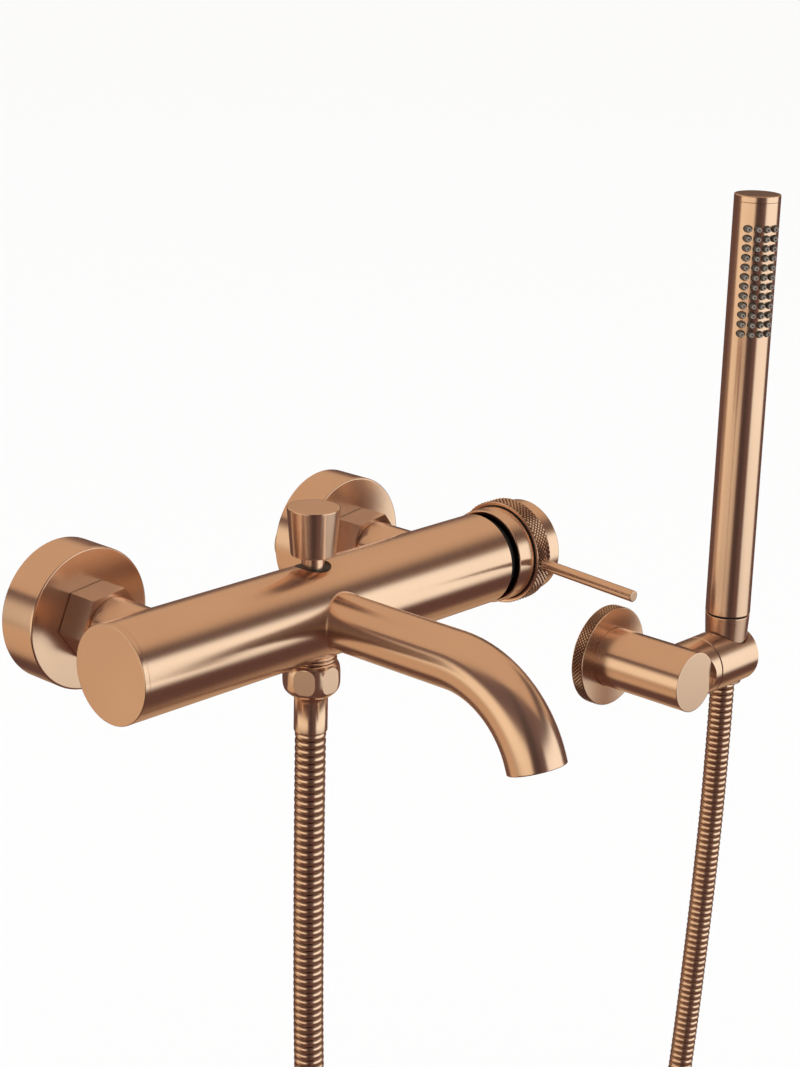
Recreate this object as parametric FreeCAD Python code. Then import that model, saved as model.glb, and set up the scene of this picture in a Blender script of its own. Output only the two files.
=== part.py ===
# A wall-mounted bath and shower mixer with one lever, a pull-up diverter, a hose and a hand shower in its own
# wall bracket. Millimetres. The wall is the plane y = 0 and the object stands out of it towards -Y, +Z is up, and
# +X runs along the body towards the lever. The origin is on the wall, midway between the two supply pipes.
import FreeCAD, Part
import math
import os

os.makedirs("parts", exist_ok=True)

# Body and supply
inlet_pitch = 150.0
union_rise = 8.0
body_reach = 72.5
body_diameter = 39.8
body_left_end = -110.0
body_right_end = 98.5
end_cap_thickness = 2.4
end_cap_spigot_diameter = 30.0
end_cap_spigot_length = 4.0
edge_chamfer = 0.4
outlet_x = -3.9
mixed_channel = 8.0
supply_channel = 6.0
supply_channel_offset = 13.4
supply_channel_angle = 52.0
port_depth = 13.0

# Wall flanges and unions
flange_diameter = 58.8
flange_depth = 18.5
flange_wall = 1.6
flange_chamfer = 0.8
pipe_thread_diameter = 20.955
pipe_thread_length = 20.0
eccentric_start = 5.0
eccentric_end = 12.0
union_thread_diameter = 24.0
waterway_diameter = 13.0
union_nut_flats = 28.0
union_nut_height = 13.8
union_nut_lip = 3.2
union_nut_turn = 6.8
gasket_thickness = 1.5
neck_diameter = 24.8
neck_tube_diameter = 19.6
neck_collar_diameter = 22.8
neck_collar_thickness = 2.0
neck_spigot_diameter = 17.0
neck_spigot_length = 5.0
valve_length = 12.0
valve_wall = 1.5
valve_seat_start = 1.0
valve_seat_end = 3.0
valve_stem_diameter = 3.0
valve_bridge_height = 1.5
valve_bridge_setback = 3.0
valve_bridge_length = 2.0

# Cartridge
cartridge_base_x = 82.0
cartridge_diameter = 26.0
cartridge_shoulder_x = 94.0
cartridge_neck_diameter = 21.0
cartridge_neck_x = 104.0
cartridge_floor = 2.0
cartridge_nut_diameter = 32.8
cartridge_nut_proud = 2.0
cover_diameter = 35.6
cover_front_x = 102.6
rotor_diameter = 17.0
rotor_front_x = 103.5
tilt_pivot_x = 88.0
pivot_pin_diameter = 3.0
stem_square = 6.0
stem_tail = 3.0
lever_lift = 10.0

# Handle
handle_rear_x = 103.0
handle_front_x = 129.5
handle_diameter = 41.3
handle_wall = 1.75
handle_web_rear_x = 107.0
handle_web_front_x = 121.0
knurl_rear_x = 112.2
knurl_width = 8.6
knurl_diameter = 46.0
knurl_depth = 0.7
knurl_count = 96
knurl_rows = 6
lever_diameter = 5.0
lever_reach = 72.0
lever_root = 9.0
lever_dip = 3.0
handle_screw_diameter = 4.0
handle_screw_head = 7.2
handle_screw_head_height = 3.0
handle_screw_key = 3.0
handle_screw_length = 12.0
handle_plug_thickness = 2.0

# Diverter
knob_bottom_diameter = 18.2
knob_top_diameter = 21.8
knob_height = 19.8
knob_bottom_rise = 24.4
knob_socket_depth = 13.5
diverter_stem_diameter = 9.3
diverter_spigot_diameter = 6.0
diverter_rod_diameter = 4.4
diverter_stem_bottom = 12.0
diverter_rod_bottom = -10.0
gland_diameter = 14.8
gland_bottom = 10.0
gland_top = 18.9
chamber_diameter = 12.6
chamber_bottom = -14.0
piston_diameter = 12.0
piston_bottom = -8.0
piston_height = 4.0
seal_diameter = 11.2
seal_thickness = 1.2
diverter_travel = 8.0

# Spout
spout_diameter = 23.6
spout_wall = 1.6
spout_straight = 77.0
spout_bend_radius = 44.5
spout_bend_turn = 70.0
spout_tail = 3.0
spout_port_diameter = 12.0
spout_nipple_diameter = 17.0
spout_nipple_depth = 8.0
spout_nipple_collar_length = 9.0
grub_screw_diameter = 4.0
grub_screw_length = 4.0
aerator_ring_wall = 1.3
aerator_ring_length = 8.0
aerator_recess = 1.0
aerator_insert_thickness = 5.0
aerator_hole_diameter = 2.0
aerator_hole_rings = ((0.0, 1), (3.2, 6), (6.3, 12))

# Hose outlet and hose
outlet_thread_diameter = 20.955
outlet_thread_bottom = -27.0
outlet_spigot_diameter = 15.0
outlet_bore_diameter = 9.0
hose_nut_flats = 22.2
hose_nut_diameter = 24.0
hose_nut_top = -20.6
hose_nut_height = 14.7
hose_nut_profile = ((0.0, 3.4), (0.9, 2.2), (2.2, 1.0), (3.8, 0.3), (5.6, 0.0), (10.5, 0.0), (12.5, 0.4),
                    (13.8, 1.1), (14.7, 2.0))
hose_nut_lip = 3.0
washer_thickness = 2.0
hose_collar_diameter = 18.8
hose_collar_thickness = 2.0
ferrule_diameter = 14.0
ferrule_bottom = -51.5
hose_diameter = 13.0
hose_groove = 0.8
hose_rib_profile = ((0.0, 0.0), (0.18, 1.0), (0.72, 1.0), (0.9, 0.0))
hose_core_steps = 60
hose_bore = 8.0
hose_rib_count = 72
hose_points_between_ends = (
    (-3.9, -113.5), (-1.6, -219.0), (7.5, -342.0), (28.0, -460.0), (66.0, -557.0), (128.0, -615.5),
    (196.0, -616.5), (256.0, -565.0), (296.0, -475.0), (318.0, -357.5), (330.0, -244.5), (335.0, -168.0),
)

# Wall bracket
bracket_x = 290.0
bracket_z = -104.0
rosette_diameter = 54.0
rosette_thickness = 7.0
rosette_wall = 2.0
rosette_rim = 3.0
rosette_count = 112
rosette_rows = 5
plate_diameter = 47.0
plate_thickness = 4.2
plate_boss_diameter = 22.0
plate_boss_length = 17.8
bracket_hole_spacing = 36.0
bracket_hole_diameter = 5.2
bracket_countersink_diameter = 9.6
arm_diameter = 32.0
arm_end = 60.0
arm_grub_diameter = 5.0
arm_grub_length = 6.0
arm_grub_y = 13.0
holder_diameter = 30.8
holder_setback = 13.0
holder_seam_x = 311.3
holder_length = 33.2
holder_pivot_diameter = 6.0
holder_pivot_start = 296.0
holder_pivot_depth = 9.0
friction_washer_diameter = 20.0
friction_washer_thickness = 1.2
holder_bore_setback = 9.8
holder_lead_in_depth = 16.0
holder_lead_in_widening = 1.2
holder_slot_width = 14.0

# Hand shower
handset_diameter = 23.6
handset_wall = 1.4
handset_bottom = -86.5
handset_top = 134.7
handset_cap_height = 3.4
handset_cap_spigot = 4.0
handset_groove = 1.2
inlet_thread_length = 11.5
inlet_bore_diameter = 9.0
cone_top_diameter = 23.4
cone_bottom_diameter = 19.0
cone_length = 38.0
upper_ferrule_length = 19.6
core_diameter = 15.0
core_wall = 1.5
core_length = 150.0
spray_azimuth = -38.4
nozzle_rows = 12
nozzle_columns = 4
nozzle_row_pitch = 4.85
nozzle_column_pitch = 4.65
nozzle_top_row = 118.5
nozzle_base_diameter = 3.8
nozzle_tip_diameter = 2.3
nozzle_proud = 3.0
nozzle_root = 2.5
nozzle_strip_thickness = 1.2
nozzle_strip_half_angle = 52.0
nozzle_strip_margin = 4.0
inlet_seat = 6.0

# Clearances
seam = 0.05
running = 0.08
gap = 0.3

body_y = -body_reach
body_z = union_rise
body_radius = body_diameter / 2
handset_x = holder_seam_x + gap + holder_length - holder_bore_setback
holder_y = -(arm_end - holder_setback)
hose_top = (body_z + handset_bottom - handset_groove - inlet_thread_length - washer_thickness
            - hose_collar_thickness - upper_ferrule_length)


def vector(x, y, z):
    return FreeCAD.Vector(x, y, z)


def place(axis, at, along):
    """The point at distance `along` on an axis parallel to X, Y or Z, whose other two coordinates are `at`."""
    if axis == "x":
        return vector(along, at[0], at[1])
    if axis == "y":
        return vector(at[0], along, at[1])
    return vector(at[0], at[1], along)


directions = {"x": vector(1, 0, 0), "y": vector(0, 1, 0), "z": vector(0, 0, 1)}


def rod(axis, at, diameter, start, end):
    """A solid cylinder on such an axis between two positions along it."""
    low, high = min(start, end), max(start, end)
    return Part.makeCylinder(diameter / 2, high - low, place(axis, at, low), directions[axis])


def tube(axis, at, outer, inner, start, end):
    low, high = min(start, end), max(start, end)
    return rod(axis, at, outer, low, high).cut(rod(axis, at, inner, low - 1, high + 1))


def turned(axis, at, profile):
    """A solid of revolution: profile lists (position along the axis, diameter) corners, closed along the axis."""
    across = {"x": vector(0, 0, 1), "y": vector(0, 0, 1), "z": vector(1, 0, 0)}[axis]
    corners = [place(axis, at, along) + across * (diameter / 2) for along, diameter in profile]
    wire = Part.makePolygon(corners + [corners[0]])
    return Part.Face(wire).revolve(place(axis, at, 0), directions[axis], 360)


def chamfered_rod(axis, at, diameter, start, end, start_chamfer=0.0, end_chamfer=0.0):
    """A cylinder from start to end with a chamfer at either edge."""
    way = 1 if end > start else -1
    profile = [(start, 0.0)]
    if start_chamfer > 0:
        profile.append((start, diameter - 2 * start_chamfer))
        profile.append((start + way * start_chamfer, diameter))
    else:
        profile.append((start, diameter))
    if end_chamfer > 0:
        profile.append((end - way * end_chamfer, diameter))
        profile.append((end, diameter - 2 * end_chamfer))
    else:
        profile.append((end, diameter))
    profile.append((end, 0.0))
    return turned(axis, at, profile)


def hexagon(axis, at, flats, start, end, turn=0.0):
    """A hexagonal prism; turn is the angle of its first corner."""
    low, high = min(start, end), max(start, end)
    radius = flats / math.sqrt(3)
    corners = []
    for step in range(6):
        angle = math.radians(turn + 60 * step)
        across, up = radius * math.cos(angle), radius * math.sin(angle)
        corners.append(place(axis, (at[0] + across, at[1] + up), low))
    wire = Part.makePolygon(corners + [corners[0]])
    return Part.Face(wire).extrude(directions[axis] * (high - low))


def knurled_rod(axis, at, diameter, depth, count, rows, start, end):
    """A cylinder with crossed diagonal grooves. Corners of a grid are high and low by turns, and each cell is folded
    between its two low corners, so the grooves run on both diagonals and leave small pyramids between them."""
    grid = []
    for row in range(rows + 1):
        along = start + (end - start) * row / rows
        ring = []
        for step in range(count):
            radius = diameter / 2 - (depth if (row + step) % 2 else 0.0)
            angle = 2 * math.pi * step / count
            ring.append(place(axis, (at[0] + radius * math.cos(angle), at[1] + radius * math.sin(angle)), along))
        grid.append(ring)
    faces = [Part.Face(Part.makePolygon(ring + [ring[0]])) for ring in (grid[0], grid[-1])]
    for row in range(rows):
        for step in range(count):
            following = (step + 1) % count
            a, b = grid[row][step], grid[row][following]
            c, d = grid[row + 1][following], grid[row + 1][step]
            if (row + step) % 2:
                triangles = ((a, b, c), (a, c, d))
            else:
                triangles = ((a, b, d), (b, c, d))
            for corners in triangles:
                faces.append(Part.Face(Part.makePolygon(list(corners) + [corners[0]])))
    return Part.makeSolid(Part.makeShell(faces))


def save(node, shape):
    """Writes one sub-part. A boolean's compound of one solid is written as that solid."""
    if len(shape.Solids) == 1:
        shape = shape.Solids[0]
    if not shape.isValid() or shape.Volume <= 0:
        raise ValueError(node + " isn't a valid solid")
    shape.exportStep("parts/" + node + ".step")


def make_body():
    """The turned brass body with its cartridge pocket, diverter bore, ports and waterways."""
    axis_at = (body_y, body_z)
    cap_face = body_left_end + end_cap_thickness
    body = chamfered_rod("x", axis_at, body_diameter, cap_face, body_right_end, 0, edge_chamfer)
    cuts = [
        rod("x", axis_at, end_cap_spigot_diameter + 2 * seam, cap_face - 1, cap_face + end_cap_spigot_length + gap),
        rod("x", axis_at, cartridge_diameter + 2 * running, cartridge_base_x, body_right_end + 1),
        rod("x", axis_at, cartridge_nut_diameter + 2 * seam, cartridge_shoulder_x - gap, body_right_end + 1),
        rod("x", axis_at, mixed_channel, outlet_x, cartridge_base_x + 1),
        rod("z", (outlet_x, body_y), chamber_diameter, body_z + chamber_bottom, body_z + gland_bottom),
        rod("z", (outlet_x, body_y), gland_diameter + 2 * seam, body_z + gland_bottom, body_z + body_radius + 1),
        rod("z", (outlet_x, body_y), outlet_spigot_diameter + 2 * seam, body_z - body_radius - 1,
            body_z + chamber_bottom),
        rod("y", (outlet_x, body_z), spout_port_diameter, body_y, body_y - body_radius - 1),
        rod("y", (outlet_x, body_z), spout_nipple_diameter + 2 * seam, body_y - body_radius + spout_nipple_depth,
            body_y - body_radius - 1),
    ]
    for side, turn in ((-1, supply_channel_angle), (1, -supply_channel_angle)):
        x = side * inlet_pitch / 2
        back = body_y + body_radius
        cuts.append(rod("y", (x, body_z), neck_spigot_diameter + 2 * seam, back - neck_spigot_length, back + 1))
        cuts.append(rod("y", (x, body_z), waterway_diameter, back - port_depth, back))
        channel_y = body_y + supply_channel_offset * math.cos(math.radians(turn))
        channel_z = body_z + supply_channel_offset * math.sin(math.radians(turn))
        cuts.append(rod("x", (channel_y, channel_z), supply_channel, x, cartridge_base_x + 2))
        cuts.append(rod("z", (x, channel_y), supply_channel, body_z, channel_z))
    for cut in cuts:
        body = body.cut(cut)
    save("mixer_body", body)
    cap = chamfered_rod("x", axis_at, body_diameter, body_left_end, cap_face, edge_chamfer, 0)
    spigot = rod("x", axis_at, end_cap_spigot_diameter, cap_face, cap_face + end_cap_spigot_length)
    save("body_end_cap", cap.fuse(spigot))


def make_union(side, name):
    """One wall connection: flange, eccentric union, nut, gasket, neck and non-return valve."""
    x = side * inlet_pitch / 2
    front = -flange_depth
    nut_back = front - gap
    nut_front = nut_back - union_nut_height
    lip_face = nut_front + union_nut_lip
    collar_front = lip_face + gap / 2
    collar_back = collar_front + neck_collar_thickness
    union_face = collar_back + gasket_thickness
    at = (x, body_z)

    flange = chamfered_rod("y", at, flange_diameter, 0, front, 0, flange_chamfer)
    flange = flange.cut(rod("y", at, flange_diameter - 2 * flange_wall, 1, front + flange_wall))
    flange = flange.cut(rod("y", at, union_thread_diameter + 2 * gap, 0, front - 1))
    save("wall_flange_" + name, flange)

    tail_wire = Part.Wire(Part.makeCircle(pipe_thread_diameter / 2, vector(x, -eccentric_start, 0), vector(0, 1, 0)))
    neck_wire = Part.Wire(Part.makeCircle(union_thread_diameter / 2, vector(x, -eccentric_end, body_z), vector(0, 1, 0)))
    union = rod("y", (x, 0), pipe_thread_diameter, pipe_thread_length, -eccentric_start)
    union = union.fuse(Part.makeLoft([tail_wire, neck_wire], True, True))
    union = union.fuse(rod("y", at, union_thread_diameter, -eccentric_end, union_face))
    union = union.cut(rod("y", (x, 0), waterway_diameter, pipe_thread_length + 1, -eccentric_end + 1))
    union = union.cut(rod("y", at, waterway_diameter, -eccentric_start - 1, union_face - 1))
    save("eccentric_union_" + name, union.removeSplitter())

    nut = hexagon("y", at, union_nut_flats, nut_back, nut_front, union_nut_turn)
    crown = union_nut_flats / math.cos(math.radians(30)) - edge_chamfer
    nut = nut.common(chamfered_rod("y", at, crown + 2 * edge_chamfer, nut_back, nut_front, edge_chamfer, edge_chamfer))
    nut = nut.cut(rod("y", at, union_thread_diameter + 2 * running, nut_back + 1, lip_face))
    nut = nut.cut(rod("y", at, neck_tube_diameter + 2 * gap, lip_face + 1, nut_front - 1))
    save("union_nut_" + name, nut)

    gasket = tube("y", at, neck_collar_diameter, waterway_diameter, collar_back, union_face)
    save("union_gasket_" + name, gasket)

    neck = rod("y", at, neck_diameter, nut_front - gap, body_y)
    neck = neck.fuse(rod("y", at, neck_tube_diameter, nut_front - gap, collar_front))
    neck = neck.fuse(rod("y", at, neck_collar_diameter, collar_front, collar_back))
    neck = neck.cut(rod("x", (body_y, body_z), body_diameter + 2 * seam, x - neck_diameter, x + neck_diameter))
    back = body_y + body_radius
    neck = neck.fuse(rod("y", at, neck_spigot_diameter, nut_front - gap - 1, back - neck_spigot_length + seam))
    neck = neck.cut(rod("y", at, waterway_diameter, collar_back + 1, back - neck_spigot_length - 1))
    save("inlet_neck_" + name, neck.removeSplitter())

    valve_front = back - neck_spigot_length + 1
    valve_back = valve_front + valve_length
    valve = tube("y", at, waterway_diameter - 2 * seam, waterway_diameter - 2 * valve_wall, valve_front, valve_back)
    seat = rod("y", at, waterway_diameter - valve_wall, valve_front + valve_seat_start, valve_front + valve_seat_end)
    stem = rod("y", at, valve_stem_diameter, valve_front + valve_seat_end, valve_back)
    bridge = Part.makeBox(waterway_diameter - valve_wall, valve_bridge_length, valve_bridge_height,
                          vector(x - (waterway_diameter - valve_wall) / 2, valve_back - valve_bridge_setback,
                                 body_z - valve_bridge_height / 2))
    save("check_valve_" + name, valve.fuse(seat).fuse(stem).fuse(bridge))


def make_cartridge():
    """The ceramic cartridge: fixed housing, nut and black cover, a turning rotor with its pin, and a tilting stem."""
    at = (body_y, body_z)
    housing = rod("x", at, cartridge_diameter, cartridge_base_x + seam, cartridge_shoulder_x)
    housing = housing.fuse(rod("x", at, cartridge_neck_diameter, cartridge_shoulder_x, cartridge_neck_x))
    housing = housing.cut(rod("x", at, rotor_diameter + 2 * running, cartridge_base_x + cartridge_floor,
                              cartridge_neck_x + 1))
    housing = housing.cut(rod("x", at, mixed_channel, cartridge_base_x - 1, cartridge_base_x + cartridge_floor + 1))
    save("cartridge_housing", housing)

    nut_front = body_right_end + cartridge_nut_proud
    nut = tube("x", at, cartridge_nut_diameter, cartridge_neck_diameter + 2 * gap, cartridge_shoulder_x, nut_front)
    save("cartridge_nut", nut)

    cover = rod("x", at, cover_diameter, body_right_end, cover_front_x)
    cover = cover.cut(rod("x", at, cartridge_nut_diameter + 2 * seam, body_right_end - 1, nut_front))
    cover = cover.cut(rod("x", at, cartridge_neck_diameter + 2 * gap, body_right_end - 1, cover_front_x + 1))
    save("cartridge_cover", cover)

    rotor = rod("x", at, rotor_diameter, cartridge_base_x + cartridge_floor + gap, rotor_front_x)
    slot_floor = tilt_pivot_x - stem_tail - 1
    swing = (rotor_front_x - tilt_pivot_x) * math.tan(math.radians(lever_lift)) + stem_square / 2 + gap
    tail_swing = stem_tail * math.sin(math.radians(lever_lift)) + stem_square / 2 + gap
    slot = Part.makeBox(rotor_front_x - slot_floor + 1, tail_swing + swing, stem_square + 2 * running,
                        vector(slot_floor, body_y - tail_swing, body_z - stem_square / 2 - running))
    rotor = rotor.cut(slot)
    rotor = rotor.cut(rod("z", (tilt_pivot_x, body_y), pivot_pin_diameter + 2 * seam, body_z - rotor_diameter,
                          body_z + rotor_diameter))
    save("cartridge_rotor", rotor)
    half_pin = math.sqrt((rotor_diameter / 2) ** 2 - (pivot_pin_diameter / 2) ** 2) - seam
    save("cartridge_pivot_pin", rod("z", (tilt_pivot_x, body_y), pivot_pin_diameter, body_z - half_pin,
                                    body_z + half_pin))

    stem = Part.makeBox(handle_web_front_x - 1 - tilt_pivot_x + stem_tail, stem_square, stem_square,
                        vector(tilt_pivot_x - stem_tail, body_y - stem_square / 2, body_z - stem_square / 2))
    stem = stem.cut(rod("z", (tilt_pivot_x, body_y), pivot_pin_diameter + 2 * running, body_z - stem_square,
                        body_z + stem_square))
    stem = stem.cut(rod("x", at, handle_screw_diameter + 2 * seam, handle_web_front_x - handle_screw_length - gap,
                        handle_web_front_x))
    save("cartridge_stem", stem)


def make_handle():
    """The lever handle: a turned cup on the stem, a knurled ring round it, the rod, the fixing screw and a plug."""
    at = (body_y, body_z)
    inner = handle_diameter - 2 * handle_wall
    lever_x = knurl_rear_x + knurl_width / 2
    hole = rod("y", (lever_x, body_z), lever_diameter + 2 * seam, body_y - lever_root + seam, body_y - knurl_diameter)
    hole.rotate(vector(lever_x, body_y, body_z), vector(1, 0, 0), lever_dip)

    cup = chamfered_rod("x", at, handle_diameter, handle_rear_x, handle_front_x, edge_chamfer, edge_chamfer)
    cup = cup.cut(rod("x", at, inner, handle_rear_x - 1, handle_web_rear_x))
    cup = cup.cut(rod("x", at, inner, handle_web_front_x, handle_front_x + 1))
    square = Part.makeBox(handle_web_front_x - handle_web_rear_x, stem_square + 2 * seam, stem_square + 2 * seam,
                          vector(handle_web_rear_x - 1, body_y - stem_square / 2 - seam,
                                 body_z - stem_square / 2 - seam))
    cup = cup.cut(square)
    cup = cup.cut(rod("x", at, handle_screw_diameter + 2 * seam, handle_web_rear_x, handle_web_front_x + 1))
    save("handle_cup", cup.cut(hole))

    ring = knurled_rod("x", at, knurl_diameter, knurl_depth, knurl_count, knurl_rows, knurl_rear_x,
                       knurl_rear_x + knurl_width)
    ring = ring.cut(rod("x", at, handle_diameter + 2 * seam, knurl_rear_x - 1, knurl_rear_x + knurl_width + 1))
    save("knurled_ring", ring.cut(hole))

    lever = chamfered_rod("y", (lever_x, body_z), lever_diameter, body_y - lever_root, body_y - lever_reach, 0,
                          edge_chamfer)
    lever.rotate(vector(lever_x, body_y, body_z), vector(1, 0, 0), lever_dip)
    save("lever_rod", lever)

    screw = rod("x", at, handle_screw_diameter, handle_web_front_x - handle_screw_length, handle_web_front_x)
    head = chamfered_rod("x", at, handle_screw_head, handle_web_front_x,
                         handle_web_front_x + handle_screw_head_height, 0, edge_chamfer)
    head = head.cut(hexagon("x", at, handle_screw_key, handle_web_front_x + 1,
                            handle_web_front_x + handle_screw_head_height + 1))
    save("handle_screw", screw.fuse(head))

    plug = chamfered_rod("x", at, inner - 2 * seam, handle_front_x - handle_plug_thickness - gap, handle_front_x - gap,
                         0, edge_chamfer)
    save("handle_plug", plug)


def make_diverter():
    """The pull-up diverter: knob, stem, gland nut, piston and its rubber seal."""
    at = (outlet_x, body_y)
    bottom = body_z + knob_bottom_rise
    top = bottom + knob_height
    knob = turned("z", at, [
        (bottom, 0), (bottom, knob_bottom_diameter - 2 * edge_chamfer), (bottom + edge_chamfer, knob_bottom_diameter),
        (top - edge_chamfer, knob_top_diameter), (top, knob_top_diameter - 2 * edge_chamfer), (top, 0)])
    save("diverter_knob", knob.cut(rod("z", at, diverter_spigot_diameter + 2 * seam, bottom - 1,
                                       bottom + knob_socket_depth)))
    stem = rod("z", at, diverter_stem_diameter, body_z + diverter_stem_bottom, bottom)
    stem = stem.fuse(rod("z", at, diverter_spigot_diameter, bottom, bottom + knob_socket_depth - gap))
    stem = stem.fuse(rod("z", at, diverter_rod_diameter, body_z + diverter_rod_bottom, body_z + diverter_stem_bottom))
    save("diverter_stem", stem)
    gland = tube("z", at, gland_diameter, diverter_stem_diameter + 2 * running, body_z + gland_bottom,
                 body_z + gland_top)
    save("diverter_gland", gland.common(rod("x", (body_y, body_z), body_diameter, outlet_x - gland_diameter,
                                            outlet_x + gland_diameter)))
    piston = tube("z", at, piston_diameter, diverter_rod_diameter, body_z + piston_bottom,
                  body_z + piston_bottom + piston_height)
    save("diverter_piston", piston)
    save("diverter_seal", tube("z", at, seal_diameter, diverter_rod_diameter, body_z + piston_bottom - seal_thickness,
                               body_z + piston_bottom))


def spout_path(start):
    """The spout's centre line from `start` on the body's front: straight, then one bend, then a short tail."""
    begin = vector(outlet_x, start, body_z)
    bend = vector(outlet_x, body_y - spout_straight, body_z)
    middle_turn, turn = math.radians(spout_bend_turn / 2), math.radians(spout_bend_turn)

    def on_bend(angle):
        return bend + vector(0, -spout_bend_radius * math.sin(angle), -spout_bend_radius * (1 - math.cos(angle)))

    direction = vector(0, -math.cos(turn), -math.sin(turn))
    finish = on_bend(turn) + direction * spout_tail
    edges = [Part.LineSegment(begin, bend).toShape(),
             Part.Arc(bend, on_bend(middle_turn), on_bend(turn)).toShape(),
             Part.LineSegment(on_bend(turn), finish).toShape()]
    return Part.Wire(edges), finish, direction


def make_spout():
    """The bent tube spout, its threaded nipple and grub screw, and the aerator in its mouth."""
    path, mouth, direction = spout_path(body_y)
    start = vector(outlet_x, body_y, body_z)
    outer = path.makePipe(Part.Face(Part.Wire(Part.makeCircle(spout_diameter / 2, start, vector(0, 1, 0)))))
    bore = spout_diameter - 2 * spout_wall
    inner = path.makePipe(Part.Face(Part.Wire(Part.makeCircle(bore / 2, start, vector(0, 1, 0)))))
    spout = outer.cut(inner)
    spout = spout.cut(rod("x", (body_y, body_z), body_diameter + 2 * seam, outlet_x - spout_diameter,
                          outlet_x + spout_diameter))
    spout = max(spout.Solids, key=lambda solid: solid.Volume)
    front = body_y - body_radius
    collar_end = front - spout_nipple_collar_length - gap
    grub_y = (front + collar_end) / 2 - gap
    grub_top = body_z - bore / 2 + seam
    grub_hole = rod("z", (outlet_x, grub_y), grub_screw_diameter + 2 * seam, body_z - spout_diameter, body_z)
    aerator_seat = Part.makeCylinder(bore / 2, aerator_ring_length + aerator_recess + gap,
                                     mouth - direction * (aerator_ring_length + aerator_recess + gap), direction)
    save("spout", spout.cut([grub_hole, aerator_seat]))

    nipple = tube("y", (outlet_x, body_z), spout_nipple_diameter, spout_port_diameter,
                  front + spout_nipple_depth, front - gap)
    collar = tube("y", (outlet_x, body_z), bore - 2 * seam, spout_port_diameter, front - gap, collar_end)
    nipple = nipple.fuse(collar).removeSplitter()
    save("spout_nipple", nipple.cut(rod("z", (outlet_x, grub_y), grub_screw_diameter + 2 * seam,
                                        grub_top - 1, grub_top + grub_screw_length - spout_wall + seam)))
    save("spout_grub_screw", rod("z", (outlet_x, grub_y), grub_screw_diameter, grub_top - spout_wall + gap,
                                 grub_top + grub_screw_length - spout_wall))

    ring_outer = bore / 2 - seam
    ring_top = mouth - direction * (aerator_recess + aerator_ring_length)
    ring = Part.makeCylinder(ring_outer, aerator_ring_length, ring_top, direction)
    insert_radius = ring_outer - aerator_ring_wall
    ring = ring.cut(Part.makeCylinder(insert_radius, aerator_ring_length + 2, ring_top - direction, direction))
    save("aerator_ring", ring)
    insert_top = mouth - direction * (2 * aerator_recess + aerator_insert_thickness)
    insert = Part.makeCylinder(insert_radius - seam, aerator_insert_thickness, insert_top, direction)
    across, up = vector(1, 0, 0), direction.cross(vector(1, 0, 0))
    holes = []
    for radius, count in aerator_hole_rings:
        for step in range(count):
            angle = 2 * math.pi * step / count
            centre = insert_top + across * (radius * math.cos(angle)) + up * (radius * math.sin(angle))
            holes.append(Part.makeCylinder(aerator_hole_diameter / 2, aerator_insert_thickness + 2,
                                           centre - direction, direction))
    save("aerator_insert", insert.cut(holes))


def barrel_nut(at, bottom):
    """A hexagon nut whose turned barrel outline leaves each flat as an oval face. The profile lists heights over the
    bottom and how far the outline draws in there."""
    top = bottom + hose_nut_height
    outline = [(bottom + rise, hose_nut_diameter - 2 * inset) for rise, inset in hose_nut_profile]
    barrel = turned("z", at, [(bottom, 0)] + outline + [(top, 0)])
    return barrel.common(hexagon("z", at, hose_nut_flats, bottom, top))


def make_hose_outlet():
    """The threaded outlet under the body and the hose's lower end: washer, collar with ferrule, and union nut."""
    at = (outlet_x, body_y)
    thread_bottom = body_z + outlet_thread_bottom
    nipple = rod("z", at, outlet_thread_diameter, thread_bottom, body_z)
    nipple = nipple.cut(rod("x", (body_y, body_z), body_diameter + 2 * seam, outlet_x - body_radius,
                            outlet_x + body_radius))
    nipple = nipple.fuse(rod("z", at, outlet_spigot_diameter, thread_bottom + 1, body_z + chamber_bottom - seam))
    nipple = nipple.cut(rod("z", at, outlet_bore_diameter, thread_bottom - 1, body_z))
    save("hose_outlet_nipple", nipple.removeSplitter())

    washer_bottom = thread_bottom - washer_thickness
    save("hose_washer", tube("z", at, hose_collar_diameter, outlet_bore_diameter, thread_bottom, washer_bottom))

    nut_bottom = body_z + hose_nut_top - hose_nut_height
    nut = barrel_nut(at, nut_bottom)
    nut = nut.cut(rod("z", at, outlet_thread_diameter + 2 * seam, nut_bottom + hose_nut_lip,
                      nut_bottom + hose_nut_height + 1))
    save("hose_nut", nut.cut(rod("z", at, ferrule_diameter + 2 * gap, nut_bottom - 1, nut_bottom + hose_nut_lip + 1)))

    ferrule = rod("z", at, hose_collar_diameter, washer_bottom, washer_bottom - hose_collar_thickness)
    ferrule = ferrule.fuse(chamfered_rod("z", at, ferrule_diameter, washer_bottom - 1, body_z + ferrule_bottom, 0,
                                         edge_chamfer))
    save("hose_ferrule_lower", ferrule.cut(rod("z", at, hose_bore, washer_bottom + 1, body_z + ferrule_bottom - 1)))


def hose_route():
    """The hose's corner points, all in the upright plane through its two ends."""
    start = vector(outlet_x, body_y, body_z + ferrule_bottom)
    end = vector(handset_x, holder_y, hose_top)
    points = [start]
    for x, z in hose_points_between_ends:
        share = (x - start.x) / (end.x - start.x)
        points.append(vector(x, start.y + share * (end.y - start.y), z))
    points.append(end)
    return points


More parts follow.
